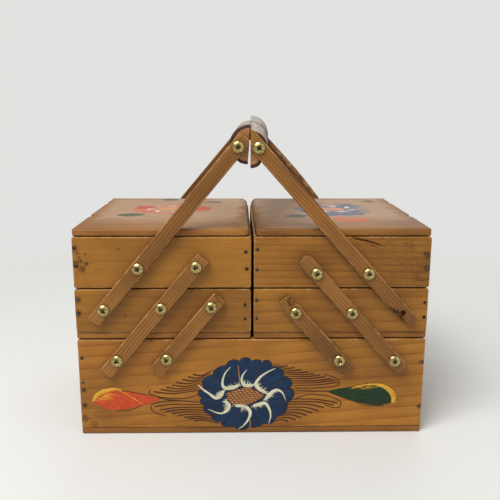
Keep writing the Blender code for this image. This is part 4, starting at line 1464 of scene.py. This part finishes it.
def paint_lid(side):
    """A flower with round petals, an eye, white touches and leaves, all worn thin."""
    art = LID_FLOWERS[side]
    centre = Vector(art.centre)

    def lay(painting, label, colours, rubbed):
        name = f"{side}_lid_{label}"
        painting.lay(name, make_paint(f"faded_{name}", *colours, 0.6, rubbed), side)

    petals = Painting()
    draw = random.Random(side)
    tips = []
    for k in range(14):
        turn = 2 * math.pi * (k + draw.uniform(-0.15, 0.15)) / 14
        stretch = draw.uniform(0.90, 1.0)
        tips.append((art.centre[0] + art.reach[0] * stretch * math.cos(turn),
                     art.centre[1] + art.reach[1] * stretch * math.sin(turn)))
    petals.petals(art.centre, tips, 0.12, 0.0, 0.07)
    lay(petals, "petals", art.petals, 0.38)
    eye = Painting()
    eye.patch(ellipse(art.centre, 11, 9), 0.06, 0.07)
    lay(eye, "eye", art.eye, 0.32)
    white = Painting()
    for k in range(7):
        turn = 2 * math.pi * k / 7 + 0.4
        at = centre + Vector((14 * math.cos(turn), 13 * math.sin(turn)))
        hook = heading(turn + 0.7)
        white.stroke((at, at + hook * 6, at + hook * 9 + left_of(hook) * 4), (2.8, 2.2, 0.5), 0.10, 0.07)
    lay(white, "highlights", FADED_WHITE, 0.40)
    leaves = Painting()
    for middle, length, half, turn in art.leaves:
        along = heading(math.radians(turn))
        across = left_of(along)
        middle = Vector(middle)
        leaves.patch((middle - along * length / 2, middle + across * half - along * length * 0.1,
                      middle + across * half * 0.8 + along * length * 0.25, middle + along * length / 2,
                      middle - across * half * 0.8 + along * length * 0.2,
                      middle - across * half - along * length * 0.1), 0.02, 0.07, along)
    lay(leaves, "leaves", FADED_GREEN, 0.34)
    accents = Painting()
    for x, y, radius in art.accents:
        accents.patch(ellipse((x, y), 1.2 * radius, 1.4 * radius), 0.10, 0.06)
    lay(accents, "accents", art.accent, 0.34)


# --- Camera, floor and light -------------------------------------------------------------------
def add_camera():
    """The view from the front, a little above the lids."""
    lens, place = 46.33, Vector((-0.0117, -0.5949, 0.2728))
    pitch, yaw, roll = math.radians(12.496), math.radians(1.092), math.radians(0.160)
    forward = Vector((math.sin(yaw) * math.cos(pitch), math.cos(yaw) * math.cos(pitch), -math.sin(pitch)))
    right = Vector((math.cos(yaw), -math.sin(yaw), 0))
    up = right.cross(forward)
    turned_right = right * math.cos(roll) + up * math.sin(roll)
    turned_up = up * math.cos(roll) - right * math.sin(roll)
    camera = add_object("camera", bpy.data.cameras.new("camera"))
    camera.data.lens = lens
    camera.data.sensor_width = 36.0
    camera.matrix_world = axes_matrix(turned_right, turned_up, -forward, place)
    bpy.context.scene.camera = camera


BACKDROP = srgb(226, 226, 224)
FLOOR_COLOUR = srgb(226, 226, 223)
FLOOR_REACH = 6.0                # from the middle of the floor to its edges
FLOOR_FADE = (0.22, 0.85)        # distances from the box between which the floor turns into backdrop
ROOM_LIGHT = 0.48                # the backdrop's brightness for everything but the camera


def add_floor():
    """Pale floor. Away from the box it fades into the backdrop, so that no horizon shows."""
    shape = bmesh.new()
    bmesh.ops.create_grid(shape, x_segments=1, y_segments=1, size=FLOOR_REACH)
    floor = add_object("floor", finish_mesh(shape, "floor"))
    floor.location.z = -0.2 * MM
    shader = Shader("pale_floor", 1.0)
    far = shader.band(shader.length(shader.place()), *FLOOR_FADE)
    shader.feed("Base Color", shader.mix(far, FLOOR_COLOUR, (0.0, 0.0, 0.0, 1.0)))
    shader.feed("Emission Color", BACKDROP)
    shader.feed("Emission Strength", far)
    shader.feed("Specular IOR Level", 0.0)
    floor.data.materials.append(shader.material)


def add_light(name, place, size, power):
    """Square light aimed at the middle of the box."""
    light = add_object(name, bpy.data.lights.new(name, "AREA"))
    light.data.size = size
    light.data.energy = power
    light.location = place
    light.rotation_euler = (Vector((0, 0, 0.1)) - light.location).to_track_quat("-Z", "Y").to_euler()


def add_world():
    """Even backdrop for the eye, and a dimmer room for the light that falls on the box."""
    world = bpy.data.worlds.new("studio")
    world.use_nodes = True
    tree = world.node_tree
    background = tree.nodes["Background"]
    background.inputs["Color"].default_value = BACKDROP
    strength = tree.nodes.new("ShaderNodeMapRange")
    seen = tree.nodes.new("ShaderNodeLightPath")
    tree.links.new(seen.outputs["Is Camera Ray"], strength.inputs["Value"])
    strength.inputs["To Min"].default_value = ROOM_LIGHT
    strength.inputs["To Max"].default_value = 1.0
    tree.links.new(strength.outputs[0], background.inputs["Strength"])
    bpy.context.scene.world = world


def add_studio():
    add_camera()
    add_floor()
    add_world()
    add_light("key", (-0.5, -0.75, 1.3), 0.8, 20)
    add_light("fill", (1.2, -1.1, 0.8), 1.2, 3)
    add_light("back", (0.3, 1.3, 1.3), 1.4, 8)
    bpy.context.scene.view_settings.view_transform = "Standard"


# --- Assembly ----------------------------------------------------------------------------------
add_all_boxes()
restore_hinges()
for side_name in SIDES:
    add_lid(side_name)
    add_handle_half(side_name)
    for face_name in FACES:
        for arm_kind in ("short", "middle", "handle"):
            add_arm(side_name, arm_kind, face_name)
add_screws()
add_nails()
paint_flower()
paint_commas()
paint_hatching()
paint_feathers()
paint_bud_and_leaf()
for side_name in SIDES:
    paint_lid(side_name)
add_studio()
